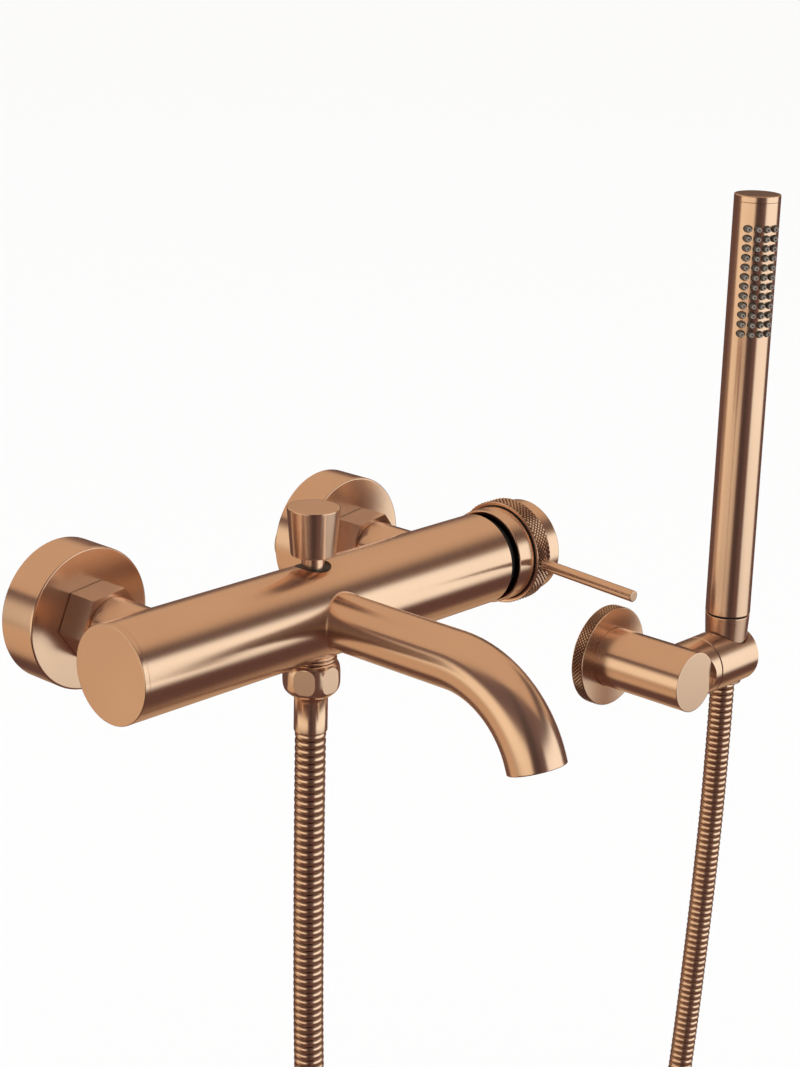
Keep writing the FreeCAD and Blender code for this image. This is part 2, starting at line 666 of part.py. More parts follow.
def rounded_path(points):
    """Straight runs joined by tangent arcs, each as large as its two runs allow. Prints the arcs' radii."""
    edges, radii, last = [], [], points[0]
    for before, corner, after in zip(points, points[1:], points[2:]):
        back, forth = before - corner, after - corner
        half_turn = (math.pi - back.getAngle(forth)) / 2
        length = 0.45 * min(back.Length, forth.Length)
        radii.append(length / math.tan(half_turn))
        back.normalize()
        forth.normalize()
        first, final = corner + back * length, corner + forth * length
        bisector = (back + forth).normalize()
        centre_distance = radii[-1] / math.cos(half_turn)
        middle = corner + bisector * (centre_distance - radii[-1])
        edges.append(Part.LineSegment(last, first).toShape())
        edges.append(Part.Arc(first, middle, final).toShape())
        last = final
    edges.append(Part.LineSegment(last, points[-1]).toShape())
    print("hose arc radii", [round(radius) for radius in radii])
    return Part.Wire(edges)


def make_hose():
    """The ribbed metal hose in its hanging loop: a ruled loft through four circles to each rib, with its bore."""
    points = hose_route()
    path = rounded_path(points)
    length = path.Length
    plane_normal = (points[-1] - points[0]).cross(vector(0, 0, 1)).normalize()
    stations = []
    rib_length = (length - 2 * hose_diameter) / hose_rib_count
    outer, root = hose_diameter / 2, hose_diameter / 2 - hose_groove
    stations.append((0.0, outer))
    for rib in range(hose_rib_count):
        begin = hose_diameter + rib * rib_length
        for share, rise in hose_rib_profile:
            stations.append((begin + share * rib_length, root + rise * hose_groove))
    stations.append((length - hose_diameter, root))
    stations.append((length - hose_diameter + 1, outer))
    stations.append((length, outer))

    def circle(along, radius):
        point, tangent = path_point(path, along)
        ring = Part.Circle(point, tangent, radius)
        ring.XAxis = plane_normal
        return Part.Wire(ring.toShape())

    skin = Part.makeLoft([circle(along, radius) for along, radius in stations], True, True)
    core = Part.makeLoft([circle(length * step / hose_core_steps, hose_bore / 2)
                          for step in range(hose_core_steps + 1)], True, True)
    hose = skin.cut(core)
    print("hose length", round(length, 1), "volume", round(hose.Volume), "plain tube",
          round(math.pi * (outer ** 2 - (hose_bore / 2) ** 2) * length))
    save("shower_hose", hose)


def path_point(path, along):
    """The point and the unit tangent at a distance along a wire."""
    for edge in path.Edges:
        if along <= edge.Length + 1e-6:
            parameter = edge.getParameterByLength(min(along, edge.Length))
            return edge.valueAt(parameter), edge.tangentAt(parameter)
        along -= edge.Length
    edge = path.Edges[-1]
    return edge.valueAt(edge.LastParameter), edge.tangentAt(edge.LastParameter)


def make_bracket():
    """The wall bracket: screw plate, knurled rosette, arm with its grub screw, fixed collar and the turning holder."""
    at = (bracket_x, bracket_z)
    plate = rod("y", at, plate_diameter, 0, -plate_thickness)
    plate = plate.fuse(chamfered_rod("y", at, plate_boss_diameter, -plate_thickness,
                                     -plate_thickness - plate_boss_length, 0, edge_chamfer))
    for side in (-1, 1):
        hole_at = (bracket_x + side * bracket_hole_spacing / 2, bracket_z)
        plate = plate.cut(rod("y", hole_at, bracket_hole_diameter, 1, -plate_thickness - 1))
        sink = (bracket_countersink_diameter - bracket_hole_diameter) / 2
        plate = plate.cut(turned("y", hole_at, [
            (-plate_thickness + sink, 0), (-plate_thickness + sink, bracket_hole_diameter),
            (-plate_thickness, bracket_countersink_diameter), (-plate_thickness - 1, bracket_countersink_diameter),
            (-plate_thickness - 1, 0)]))
    save("bracket_plate", plate)

    rosette = knurled_rod("y", at, rosette_diameter, knurl_depth, rosette_count, rosette_rows, 0, -rosette_thickness)
    rosette = rosette.cut(rod("y", at, rosette_diameter - 2 * rosette_rim, 1, -rosette_thickness + rosette_wall))
    save("bracket_rosette", rosette.cut(rod("y", at, arm_diameter + 2 * seam, 1, -rosette_thickness - 1)))

    arm_start = -plate_thickness - seam
    arm = chamfered_rod("y", at, arm_diameter, arm_start, -arm_end, 0, edge_chamfer)
    arm = arm.cut(rod("y", at, plate_boss_diameter + 2 * seam, arm_start + 1, -plate_thickness - plate_boss_length - gap))
    grub_hole = rod("z", (bracket_x, -arm_grub_y), arm_grub_diameter + 2 * seam, bracket_z - arm_diameter,
                    bracket_z - plate_boss_diameter / 2 + seam)
    pivot_end = holder_seam_x + gap + holder_pivot_depth
    pivot_hole = rod("x", (holder_y, bracket_z), holder_pivot_diameter + 2 * seam, holder_pivot_start, holder_seam_x)
    save("bracket_arm", arm.cut(grub_hole).cut(pivot_hole))
    grub_top = bracket_z - plate_boss_diameter / 2 - seam
    save("arm_grub_screw", rod("z", (bracket_x, -arm_grub_y), arm_grub_diameter, grub_top - arm_grub_length + 1,
                               grub_top))

    pivot_at = (holder_y, bracket_z)
    collar = chamfered_rod("x", pivot_at, holder_diameter, bracket_x, holder_seam_x, 0, edge_chamfer)
    collar = collar.cut(rod("y", at, arm_diameter + 2 * seam, 0, -2 * arm_end))
    collar = max(collar.Solids, key=lambda solid: solid.CenterOfMass.x)
    washer_start = holder_seam_x - friction_washer_thickness + gap - seam
    collar = collar.cut(rod("x", pivot_at, friction_washer_diameter + 2 * seam, washer_start, holder_seam_x + 1))
    save("holder_collar", collar.cut(pivot_hole))
    save("friction_washer", tube("x", pivot_at, friction_washer_diameter, holder_pivot_diameter + 2 * seam,
                                 washer_start, holder_seam_x + gap - seam))
    save("holder_pivot", rod("x", pivot_at, holder_pivot_diameter, holder_pivot_start + gap, pivot_end))

    holder_start = holder_seam_x + gap
    holder = chamfered_rod("x", pivot_at, holder_diameter, holder_start, holder_start + holder_length, edge_chamfer,
                           edge_chamfer)
    holder = holder.cut(rod("x", pivot_at, holder_pivot_diameter + 2 * running, holder_start - 1, pivot_end + gap))
    holder = holder.cut(cone_solid(running))
    lead_high = bracket_z + holder_diameter / 2 + 1
    lead_low = lead_high - holder_lead_in_depth
    lead_radius = cone_radius_at(lead_low) + running
    mouth_radius = cone_radius_at(lead_high) + running + holder_lead_in_widening
    lead_in = turned("z", (handset_x, holder_y), [
        (lead_low, 0), (lead_low, 2 * lead_radius), (lead_high, 2 * mouth_radius), (lead_high, 0)])
    holder = holder.cut(lead_in)
    slot = Part.makeBox(holder_length, holder_slot_width, 2 * holder_diameter,
                        vector(handset_x, holder_y - holder_slot_width / 2, bracket_z - holder_diameter))
    save("handset_holder", holder.cut(slot))


def cone_radius_at(height):
    """Radius of the hose's conical nut at a height."""
    top = body_z + handset_bottom - handset_groove
    return (cone_top_diameter - (cone_top_diameter - cone_bottom_diameter) * (top - height) / cone_length) / 2


def cone_solid(clearance):
    """The taper of the hose's conical nut, grown by a clearance, and run on past both ends when it cuts the holder."""
    top = body_z + handset_bottom - handset_groove
    slope = (cone_top_diameter - cone_bottom_diameter) / cone_length
    over = 6.0 if clearance > 0 else 0.0
    return turned("z", (handset_x, holder_y), [
        (top + over, 0), (top + over, cone_top_diameter + 2 * clearance + slope * over),
        (top - cone_length - over, cone_bottom_diameter + 2 * clearance - slope * over),
        (top - cone_length - over, 0)])


def make_handset():
    """The hand shower: conical nut with the hose's upper end in it, threaded inlet, tube, waterway, nozzles and cap."""
    at = (handset_x, holder_y)
    base = body_z + handset_bottom
    cone_top = base - handset_groove
    thread_bottom = cone_top - inlet_thread_length
    collar_top = thread_bottom - washer_thickness
    collar_bottom = collar_top - hose_collar_thickness
    nut = cone_solid(0)
    nut = nut.cut(rod("z", at, outlet_thread_diameter + 2 * seam, collar_bottom - gap, cone_top + 1))
    nut = nut.cut(rod("z", at, ferrule_diameter + 2 * running, cone_top - cone_length - 1, collar_bottom))
    save("cone_nut", nut)
    save("handset_washer", tube("z", at, hose_collar_diameter, outlet_bore_diameter, collar_top + seam, thread_bottom))
    ferrule = rod("z", at, hose_collar_diameter, collar_bottom, collar_top)
    ferrule = ferrule.fuse(rod("z", at, ferrule_diameter, collar_top - 1, hose_top))
    save("hose_ferrule_upper", ferrule.cut(rod("z", at, hose_bore, collar_top + 1, hose_top - 1)))

    inner = handset_diameter - 2 * handset_wall
    top = body_z + handset_top
    cap_bottom = top - handset_cap_height
    inlet = rod("z", at, outlet_thread_diameter - 2 * seam, thread_bottom, base)
    inlet = inlet.fuse(rod("z", at, inner - 2 * seam, base, base + inlet_seat))
    save("handset_inlet", inlet.cut(rod("z", at, inlet_bore_diameter, thread_bottom - 1, base + inlet_seat + 1)))

    core_top = base + inlet_seat + core_length
    core = tube("z", at, core_diameter, core_diameter - 2 * core_wall, base + inlet_seat + seam, core_top)
    save("handset_waterway", core)

    angle = math.radians(spray_azimuth)
    spray = vector(math.sin(angle), -math.cos(angle), 0)
    across = vector(math.cos(angle), math.sin(angle), 0)
    holes, nozzles = [], []
    strip_outer = inner / 2 - seam
    for column in range(nozzle_columns):
        shift = (column - (nozzle_columns - 1) / 2) * nozzle_column_pitch
        surface = math.sqrt((handset_diameter / 2) ** 2 - shift ** 2)
        for row in range(nozzle_rows):
            height = body_z + nozzle_top_row - row * nozzle_row_pitch
            axis_point = vector(handset_x, holder_y, height) + across * shift
            holes.append(Part.makeCylinder(nozzle_base_diameter / 2 + seam, handset_diameter, axis_point, spray))
            nozzles.append(Part.makeCylinder(nozzle_base_diameter / 2, surface - nozzle_root, axis_point
                                             + spray * nozzle_root, spray))
            nozzles.append(Part.makeCone(nozzle_base_diameter / 2, nozzle_tip_diameter / 2, nozzle_proud,
                                         axis_point + spray * surface, spray))
    shell = tube("z", at, handset_diameter, inner, base, cap_bottom)
    save("handset_body", shell.cut(holes))

    strip_low = body_z + nozzle_top_row - (nozzle_rows - 1) * nozzle_row_pitch - nozzle_strip_margin
    strip_high = body_z + nozzle_top_row + nozzle_strip_margin
    sector = Part.makeCylinder(strip_outer, strip_high - strip_low, vector(handset_x, holder_y, strip_low),
                               vector(0, 0, 1), 2 * nozzle_strip_half_angle)
    sector.rotate(vector(handset_x, holder_y, 0), vector(0, 0, 1),
                  spray_azimuth - 90 - nozzle_strip_half_angle)
    strip_bore = rod("z", at, 2 * (strip_outer - nozzle_strip_thickness), strip_low - 1, strip_high + 1)
    save("spray_nozzles", sector.fuse(nozzles).cut(strip_bore))

    cap = chamfered_rod("z", at, handset_diameter, cap_bottom, top, 0, edge_chamfer)
    cap = cap.fuse(rod("z", at, inner - 2 * seam, cap_bottom - handset_cap_spigot, cap_bottom))
    save("handset_cap", cap)


make_body()
make_union(-1, "left")
make_union(1, "right")
make_cartridge()
make_handle()
make_diverter()
make_spout()
make_hose_outlet()
make_hose()
make_bracket()
make_handset()
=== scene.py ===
# The wall-mounted bath mixer with its hand shower, dressed for the picture. Metres, in the same frame as the
# solids: the wall is y = 0, +X runs along the body towards the lever, +Z is up.
import math

import bmesh
import bpy
from mathutils import Matrix, Vector


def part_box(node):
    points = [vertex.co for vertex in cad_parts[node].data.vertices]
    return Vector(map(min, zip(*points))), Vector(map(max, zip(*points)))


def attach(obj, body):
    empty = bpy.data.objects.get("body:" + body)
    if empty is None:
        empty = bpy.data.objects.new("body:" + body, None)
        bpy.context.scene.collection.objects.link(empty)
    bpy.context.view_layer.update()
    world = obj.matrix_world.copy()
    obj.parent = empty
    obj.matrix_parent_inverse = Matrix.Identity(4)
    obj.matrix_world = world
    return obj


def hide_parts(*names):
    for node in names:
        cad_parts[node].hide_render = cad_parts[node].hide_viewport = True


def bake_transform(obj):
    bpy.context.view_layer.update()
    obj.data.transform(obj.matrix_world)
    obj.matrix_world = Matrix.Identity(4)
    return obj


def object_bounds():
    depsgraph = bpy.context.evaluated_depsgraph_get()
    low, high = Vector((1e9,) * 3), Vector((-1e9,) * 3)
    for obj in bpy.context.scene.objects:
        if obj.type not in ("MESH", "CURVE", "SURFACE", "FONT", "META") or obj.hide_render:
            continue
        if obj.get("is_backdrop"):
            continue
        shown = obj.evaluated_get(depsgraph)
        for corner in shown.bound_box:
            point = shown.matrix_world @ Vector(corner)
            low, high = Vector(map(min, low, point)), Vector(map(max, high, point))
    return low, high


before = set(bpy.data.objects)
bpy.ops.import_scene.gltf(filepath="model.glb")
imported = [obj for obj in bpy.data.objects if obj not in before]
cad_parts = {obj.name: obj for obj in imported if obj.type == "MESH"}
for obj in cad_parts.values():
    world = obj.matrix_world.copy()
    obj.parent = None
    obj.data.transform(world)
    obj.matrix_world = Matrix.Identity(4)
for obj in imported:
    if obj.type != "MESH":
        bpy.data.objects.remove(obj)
cad_low, cad_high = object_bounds()


# Camera: it stands in front of the wall, to the left of the mixer and a little above it, with a long lens.
# Its place and turn are fitted to the photograph's ellipses and edges.
camera_place = Vector((-0.61329, -0.67575, 0.30665))
camera_azimuth, camera_elevation, camera_roll = (math.radians(angle) for angle in (-47.61, 17.17, 1.52))
focal_pixels, frame_height_pixels = 2237.73, 1067
back = Vector((math.sin(camera_azimuth) * math.cos(camera_elevation),
               -math.cos(camera_azimuth) * math.cos(camera_elevation), math.sin(camera_elevation)))
right = Vector((math.cos(camera_azimuth), math.sin(camera_azimuth), 0))
up = back.cross(right)
rolled_right = math.cos(camera_roll) * right + math.sin(camera_roll) * up
rolled_up = math.cos(camera_roll) * up - math.sin(camera_roll) * right


def added_object(name, data):
    """A new object in the scene."""
    item = bpy.data.objects.new(name, data)
    bpy.context.scene.collection.objects.link(item)
    return item


camera = added_object("camera", bpy.data.cameras.new("camera"))
camera.data.sensor_width = 36
camera.data.lens = focal_pixels / frame_height_pixels * camera.data.sensor_width
camera.data.clip_start, camera.data.clip_end = 0.01, 100
camera_turn = Matrix((rolled_right, rolled_up, back)).transposed().to_4x4()
camera.matrix_world = Matrix.Translation(camera_place) @ camera_turn
bpy.context.scene.camera = camera
bpy.context.scene.view_settings.view_transform = "Standard"


# Shower hose: a spiral of folded steel strip over a rubber tube, copper plated, with a groove at every turn.
# It drops from the ferrule under the body, hangs in a deep loop and rises into the cone nut. Its route has
# the same points as the solid's, as the control points of one smooth curve.
mm = 0.001
x_axis, y_axis, z_axis = Vector((1, 0, 0)), Vector((0, 1, 0)), Vector((0, 0, 1))


def middle(node):
    """The centre of a node's box."""
    low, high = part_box(node)
    return (Vector(low) + Vector(high)) / 2


def extent(node, axis):
    """The lowest and highest coordinate of a node along one axis, 0 for X, 1 for Y, 2 for Z."""
    low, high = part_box(node)
    return low[axis], high[axis]


def width(node, axis):
    """How far a node reaches along one axis."""
    low, high = extent(node, axis)
    return high - low


body_centre = middle("mixer_body")
outlet_line = Vector((middle("diverter_knob").x, body_centre.y, 0))
handset_line = Vector((middle("handset_cap").x, middle("handset_cap").y, 0))
hose_diameter = 13.0 * mm
hose_rib_pitch = 3.3 * mm
hose_groove_depth = 0.78 * mm
hose_sides = 40
hose_start = Vector((outlet_line.x, outlet_line.y, extent("hose_ferrule_lower", 2)[0]))
hose_end = Vector((handset_line.x, handset_line.y, extent("hose_ferrule_upper", 2)[0]))
hose_points_between_ends = [
    (-3.9, -113.5), (-1.6, -219.0), (7.5, -342.0), (28.0, -460.0), (66.0, -557.0), (128.0, -615.5),
    (196.0, -616.5), (256.0, -565.0), (296.0, -475.0), (318.0, -357.5), (330.0, -244.5), (335.0, -168.0),
]


def hose_route():
    """The route's points, in the upright plane through the hose's two ends."""
    points = [hose_start]
    for x, z in hose_points_between_ends:
        share = (x * mm - hose_start.x) / (hose_end.x - hose_start.x)
        points.append(Vector((x * mm, hose_start.y + share * (hose_end.y - hose_start.y), z * mm)))
    points.append(hose_end)
    return points


def smooth_line(points):
    """Close points along the NURBS curve that has these control points."""
    curve = bpy.data.curves.new("hose_line", "CURVE")
    curve.dimensions = "3D"
    spline = curve.splines.new("NURBS")
    spline.points.add(len(points) - 1)
    for control, point in zip(spline.points, points):
        control.co = (*point, 1)
    spline.order_u = 3
    spline.use_endpoint_u = True
    spline.resolution_u = 60
    carrier = added_object("hose_line", curve)
    bpy.context.view_layer.update()
    line = bpy.data.meshes.new_from_object(carrier)
    found = [vertex.co.copy() for vertex in line.vertices]
    bpy.data.objects.remove(carrier)
    return found


hose_line = smooth_line(hose_route())
hose_lengths = [0.0]
for one, two in zip(hose_line, hose_line[1:]):
    hose_lengths.append(hose_lengths[-1] + (two - one).length)
hose_length = hose_lengths[-1]
hose_rib_count = round(hose_length / hose_rib_pitch)
rib_length = hose_length / hose_rib_count


def at_rib(rib):
    """The point where a rib begins."""
    distance = min(rib * rib_length, hose_length)
    index = next((number for number, length in enumerate(hose_lengths) if length >= distance and number),
                 len(hose_lengths) - 1)
    share = (distance - hose_lengths[index - 1]) / (hose_lengths[index] - hose_lengths[index - 1])
    return hose_line[index - 1].lerp(hose_line[index], share)


def feed(tree, socket, value):
    """Gives a node's input a value of its own, or another node's output."""
    if isinstance(value, bpy.types.NodeSocket):
        tree.links.new(value, socket)
    else:
        socket.default_value = value


def added_node(tree, kind, values=None, **settings):
    """A node with its settings made and its inputs fed. values has a value or an output for each input."""
    node = tree.nodes.new(kind)
    for setting, value in settings.items():
        setattr(node, setting, value)
    for name, value in (values or {}).items():
        feed(tree, node.inputs[name], value)
    return node


def made(tree, kind, values=None, **settings):
    """What a new node puts out first."""
    return added_node(tree, kind, values, **settings).outputs[0]


def math_node(tree, operation, *values):
    """A Math node's output, with numbers or sockets as its inputs."""
    node = added_node(tree, "ShaderNodeMath", operation=operation)
    for socket, value in zip(node.inputs, values):
        feed(tree, socket, value)
    return node.outputs[0]


def vector_node(tree, operation, *values):
    """A Vector Math node's output, with vectors or sockets as its inputs."""
    node = added_node(tree, "ShaderNodeVectorMath", operation=operation)
    for socket, value in zip(node.inputs, values):
        feed(tree, socket, value)
    return node.outputs["Value"] if operation in ("DOT_PRODUCT", "LENGTH") else node.outputs["Vector"]


def scaled(tree, vector, factor):
    """A vector times a number, where either may be a socket."""
    node = added_node(tree, "ShaderNodeVectorMath", {"Scale": factor}, operation="SCALE")
    feed(tree, node.inputs[0], vector)
    return node.outputs["Vector"]


def smooth_range(tree, value, low, high, to_low=0.0, to_high=1.0):
    """A value eased from one range into another."""
    return made(tree, "ShaderNodeMapRange", {
        "Value": value, "From Min": low, "From Max": high, "To Min": to_low, "To Max": to_high},
        interpolation_type="SMOOTHSTEP")


def mixed(tree, factor, one, two, label=""):
    """A colour between two others."""
    return added_node(tree, "ShaderNodeMix", {"Factor": factor, "A": one, "B": two}, data_type="RGBA",
                      label=label).outputs["Result"]


def noise(tree, place, scale, detail, roughness=0.5):
    """A noise pattern's value."""
    return made(tree, "ShaderNodeTexNoise", {
        "Vector": place, "Scale": scale, "Detail": detail, "Roughness": roughness})


def spread_noise(tree, value, low, high, reach=0.2):
    """A noise pattern's value, most of which lies within a reach of its middle, eased into another range."""
    return smooth_range(tree, value, 0.5 - reach, 0.5 + reach, low, high)


def object_place(tree):
    """A shaded point's place in the object's own frame."""
    return tree.nodes.new("ShaderNodeTexCoord").outputs["Object"]


def relief(tree, shader, height, depth, strength):
    """Raises and sinks a surface by a pattern, in its shading alone."""
    values = {"Strength": strength, "Distance": depth, "Height": height}
    feed(tree, shader.inputs["Normal"], made(tree, "ShaderNodeBump", values))


def add_sockets(tree, in_out, sockets):
    """Gives a tree its inputs or outputs. sockets has a list of names for each kind of socket."""
    for kind, names in sockets.items():
        for name in names:
            tree.interface.new_socket(name, in_out=in_out, socket_type="NodeSocket" + kind)


def new_tree(name, **inputs):
    """A Geometry Nodes tree and its inputs, of which inputs has a list of names for each kind."""
    tree = bpy.data.node_groups.new(name, "GeometryNodeTree")
    add_sockets(tree, "OUTPUT", {"Geometry": ["Geometry"]})
    add_sockets(tree, "INPUT", inputs)
    return tree, tree.nodes.new("NodeGroupInput").outputs


def end_tree(tree, geometry, material, smooth=True):
    """Shades what a tree has made, realizes it, gives it its material and sends it out."""
    shaded = made(tree, "GeometryNodeSetShadeSmooth", {"Geometry": geometry, "Shade Smooth": smooth})
    real = made(tree, "GeometryNodeRealizeInstances", {"Geometry": shaded})
    covered = made(tree, "GeometryNodeSetMaterial", {"Geometry": real, "Material": material})
    added_node(tree, "NodeGroupOutput", {"Geometry": covered})


def moved(tree, geometry, place):
    """A tree's geometry with its points at other places."""
    return made(tree, "GeometryNodeSetPosition", {"Geometry": geometry, "Position": place})


def swept(tree, curve, sides, radius, closed_ends=False):
    """A round skin along a curve, as wide as the radius that each of its points has."""
    outline = made(tree, "GeometryNodeCurvePrimitiveCircle", {"Resolution": sides, "Radius": 1.0})
    return made(tree, "GeometryNodeCurveToMesh", {
        "Curve": curve, "Profile Curve": outline, "Scale": radius, "Fill Caps": closed_ends})


def ribbed_skin_tree(name, rib_profile):
    """A round skin along a path, with the same rib again and again. rib_profile gives one rib as pairs of a
    share of its length and the depth there, from 0 on the crest to 1 in the groove. The mesh keeps that depth
    as "groove"."""
    tree, given = new_tree(name, Geometry=["Path"], Int=["First rib", "Ribs", "Ribs on path", "Sides"],
                           Float=["Radius", "Groove depth"], Bool=["Closed ends"], Material=["Metal"])
    stations = len(rib_profile)
    index = tree.nodes.new("GeometryNodeInputIndex").outputs["Index"]
    station = math_node(tree, "MODULO", index, stations)
    rib = math_node(tree, "FLOOR", math_node(tree, "DIVIDE", math_node(tree, "ADD", index, 0.5), stations))

    def by_station(column):
        """One column of the rib's profile, chosen by a point's place in its rib."""
        node = added_node(tree, "GeometryNodeIndexSwitch", data_type="FLOAT")
        while len(node.index_switch_items) < stations:
            node.index_switch_items.new()
        tree.links.new(station, node.inputs[0])
        for number, entry in enumerate(rib_profile):
            node.inputs[number + 1].default_value = entry[column]
        return node.outputs["Output"]

    place = math_node(tree, "ADD", math_node(tree, "ADD", rib, by_station(0)), given["First rib"])
    depth = by_station(1)
    count = math_node(tree, "ADD", math_node(tree, "MULTIPLY", given["Ribs"], stations), 1)
    route = made(tree, "GeometryNodeMeshToCurve", {"Mesh": given["Path"]})
    line = made(tree, "GeometryNodeResampleCurve", {"Curve": route, "Count": count})
    sampled = added_node(tree, "GeometryNodeSampleCurve", {
        "Curves": route, "Factor": math_node(tree, "DIVIDE", place, given["Ribs on path"])}, mode="FACTOR")
    placed = moved(tree, line, sampled.outputs["Position"])
    marked = made(tree, "GeometryNodeStoreNamedAttribute", {
        "Geometry": placed, "Name": "groove", "Value": depth}, data_type="FLOAT", domain="POINT")
    sunk = math_node(tree, "MULTIPLY", depth, given["Groove depth"])
    radius = math_node(tree, "SUBTRACT", given["Radius"], sunk)
    end_tree(tree, swept(tree, marked, given["Sides"], radius, given["Closed ends"]), given["Metal"])
    return tree


def grown(name, tree, values, path=None):
    """What a tree makes with these inputs, as a plain mesh at the origin. path is the mesh it starts from."""
    piece = added_object(name, path or bpy.data.meshes.new(name))
    modifier = piece.modifiers.new(tree.name, "NODES")
    modifier.node_group = tree
    for item in tree.interface.items_tree:
        if item.in_out == "INPUT" and item.name in values:
            value = values[item.name]
            modifier[item.identifier] = tuple(value) if isinstance(value, Vector) else value
    made = bpy.data.meshes.new_from_object(piece.evaluated_get(bpy.context.evaluated_depsgraph_get()))
    piece.modifiers.remove(modifier)
    piece.data = made
    made.name = name
    return piece


def fasten(piece, body=None, nodes=()):
    """Says which body carries a piece and which solids it stands for."""
    if body:
        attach(piece, body)
    if nodes:
        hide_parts(*nodes)
    return piece


def path_mesh(name, *lines):
    """A mesh of bare lines, each given by its points."""
    points, edges = [], []
    for line in lines:
        edges += [(len(points) + step, len(points) + step + 1) for step in range(len(line) - 1)]
        points += line
    mesh = bpy.data.meshes.new(name)
    mesh.from_pydata(points, edges, [])
    return mesh


def plating_group():
    """Satin plating as brushes leave it that go round one axis: fine lines round the sides and faces, slow
    patches of colour, and painted shade, a dark colour laid over it where it is asked for."""
    line_scale, line_detail, line_sharpness = 2600, 3, 0.65
    line_drift = 0.012
    patch_scale, patch_detail = 22, 2
    patch_lightness, line_lightness = (0.35, 0.75), (-0.05, 0.07)
    # Painted shade: the dark colour that stands in for the shade in grooves, crevices and gaps.
    painted_shade_colour = (0.13, 0.055, 0.032, 1)
    group = bpy.data.node_groups.new("brushed_plating", "ShaderNodeTree")
    add_sockets(group, "INPUT", {"Vector": ["Origin", "Direction"], "Color": ["Dark metal", "Light metal"],
                                 "Float": ["Smoothest", "Roughest", "Painted shade"]})
    add_sockets(group, "OUTPUT", {"Color": ["Colour"], "Float": ["Roughness", "Marks"]})
    given = group.nodes.new("NodeGroupInput").outputs
    place = object_place(group)
    offset = vector_node(group, "SUBTRACT", place, given["Origin"])
    along = vector_node(group, "DOT_PRODUCT", offset, given["Direction"])
    outward = vector_node(group, "SUBTRACT", offset, scaled(group, given["Direction"], along))
    ring_place = made(group, "ShaderNodeCombineXYZ", {"X": along, "Y": vector_node(group, "LENGTH", outward)})
    drifted = vector_node(group, "ADD", ring_place, scaled(group, offset, line_drift))
    lines = noise(group, drifted, line_scale, line_detail, line_sharpness)
    patches = noise(group, place, patch_scale, patch_detail)
    lightness = math_node(group, "ADD", spread_noise(group, patches, *patch_lightness),
                          spread_noise(group, lines, *line_lightness))
    plated = mixed(group, lightness, given["Dark metal"], given["Light metal"])
    added_node(group, "NodeGroupOutput", {
        "Colour": mixed(group, given["Painted shade"], plated, painted_shade_colour),
        "Roughness": spread_noise(group, lines, given["Smoothest"], given["Roughest"], reach=0.25),
        "Marks": lines})
    return group


brushed_plating = plating_group()
copper_dark, copper_light = (0.87, 0.64, 0.49, 1), (0.95, 0.72, 0.565, 1)


def new_material(name):
    """A material with one Principled shader. Returns the material, its tree and the shader."""
    material = bpy.data.materials.new(name)
    material.use_nodes = True
    return material, material.node_tree, material.node_tree.nodes["Principled BSDF"]


def brushed_metal(name, origin, axis, smoothest=0.21, roughest=0.24, stretch=0.6, face_stretch=0.0,
                  dark=copper_dark, light=copper_light):
    """Satin copper plating, or another metal, with its brush marks round one axis. Reflections stretch across
    the marks: by stretch on the sides, by face_stretch on faces square to the axis."""
    mark_depth, mark_strength = 3e-7, 0.35
    side_squareness, face_squareness = 0.5, 0.95
    material, tree, shader = new_material(name)
    shader.inputs["Metallic"].default_value = 1.0
    plating = added_node(tree, "ShaderNodeGroup", {
        "Origin": origin, "Direction": axis, "Dark metal": dark, "Light metal": light, "Smoothest": smoothest,
        "Roughest": roughest, "Painted shade": 0.0}, node_tree=brushed_plating, name="plating")
    feed(tree, shader.inputs["Base Color"], plating.outputs["Colour"])
    feed(tree, shader.inputs["Roughness"], plating.outputs["Roughness"])
    relief(tree, shader, plating.outputs["Marks"], mark_depth, mark_strength)
    if stretch == 0:
        return material
    normal = tree.nodes.new("ShaderNodeNewGeometry").outputs["Normal"]
    offset = vector_node(tree, "SUBTRACT", object_place(tree), origin)
    ring_way = vector_node(tree, "CROSS_PRODUCT", axis, offset)
    along_marks = made(tree, "ShaderNodeVectorTransform", {"Vector": ring_way}, vector_type="VECTOR",
                       convert_from="OBJECT", convert_to="WORLD")
    own_normal = made(tree, "ShaderNodeVectorTransform", {"Vector": normal}, vector_type="NORMAL",
                      convert_from="WORLD", convert_to="OBJECT")
    squareness = math_node(tree, "ABSOLUTE", vector_node(tree, "DOT_PRODUCT", own_normal, axis))
    feed(tree, shader.inputs["Tangent"], vector_node(tree, "CROSS_PRODUCT", along_marks, normal))
    feed(tree, shader.inputs["Anisotropic"],
         smooth_range(tree, squareness, side_squareness, face_squareness, stretch, face_stretch))
    return material


def paint_shade(material, where):
    """Paints shade onto a plating, as much as a value in its tree says."""
    feed(material.node_tree, material.node_tree.nodes["plating"].inputs["Painted shade"], where)


copper_hose = brushed_metal("copper_hose", outlet_line, z_axis, 0.19, 0.25, stretch=0)
# Painted shade in the hose's grooves: the deeper a point lies in its groove, the darker the plating.
unshaded_groove_depth, shaded_groove_depth = 0.1, 0.9
groove = added_node(copper_hose.node_tree, "ShaderNodeAttribute", attribute_name="groove").outputs["Fac"]
paint_shade(copper_hose, smooth_range(copper_hose.node_tree, groove, unshaded_groove_depth, shaded_groove_depth))
hose_ribs = ribbed_skin_tree("hose_ribs", (
    (0.0, 1.0), (0.10, 0.436), (0.30, 0.064), (0.55, 0.0), (0.80, 0.154), (0.94, 0.538)))
bend_height, stretch_height = -0.300, -0.165
bend_rib = next(rib for rib in range(hose_rib_count // 2, hose_rib_count) if at_rib(rib).z > bend_height)
stretch_rib = next(rib for rib in range(bend_rib, hose_rib_count) if at_rib(rib).z > stretch_height)


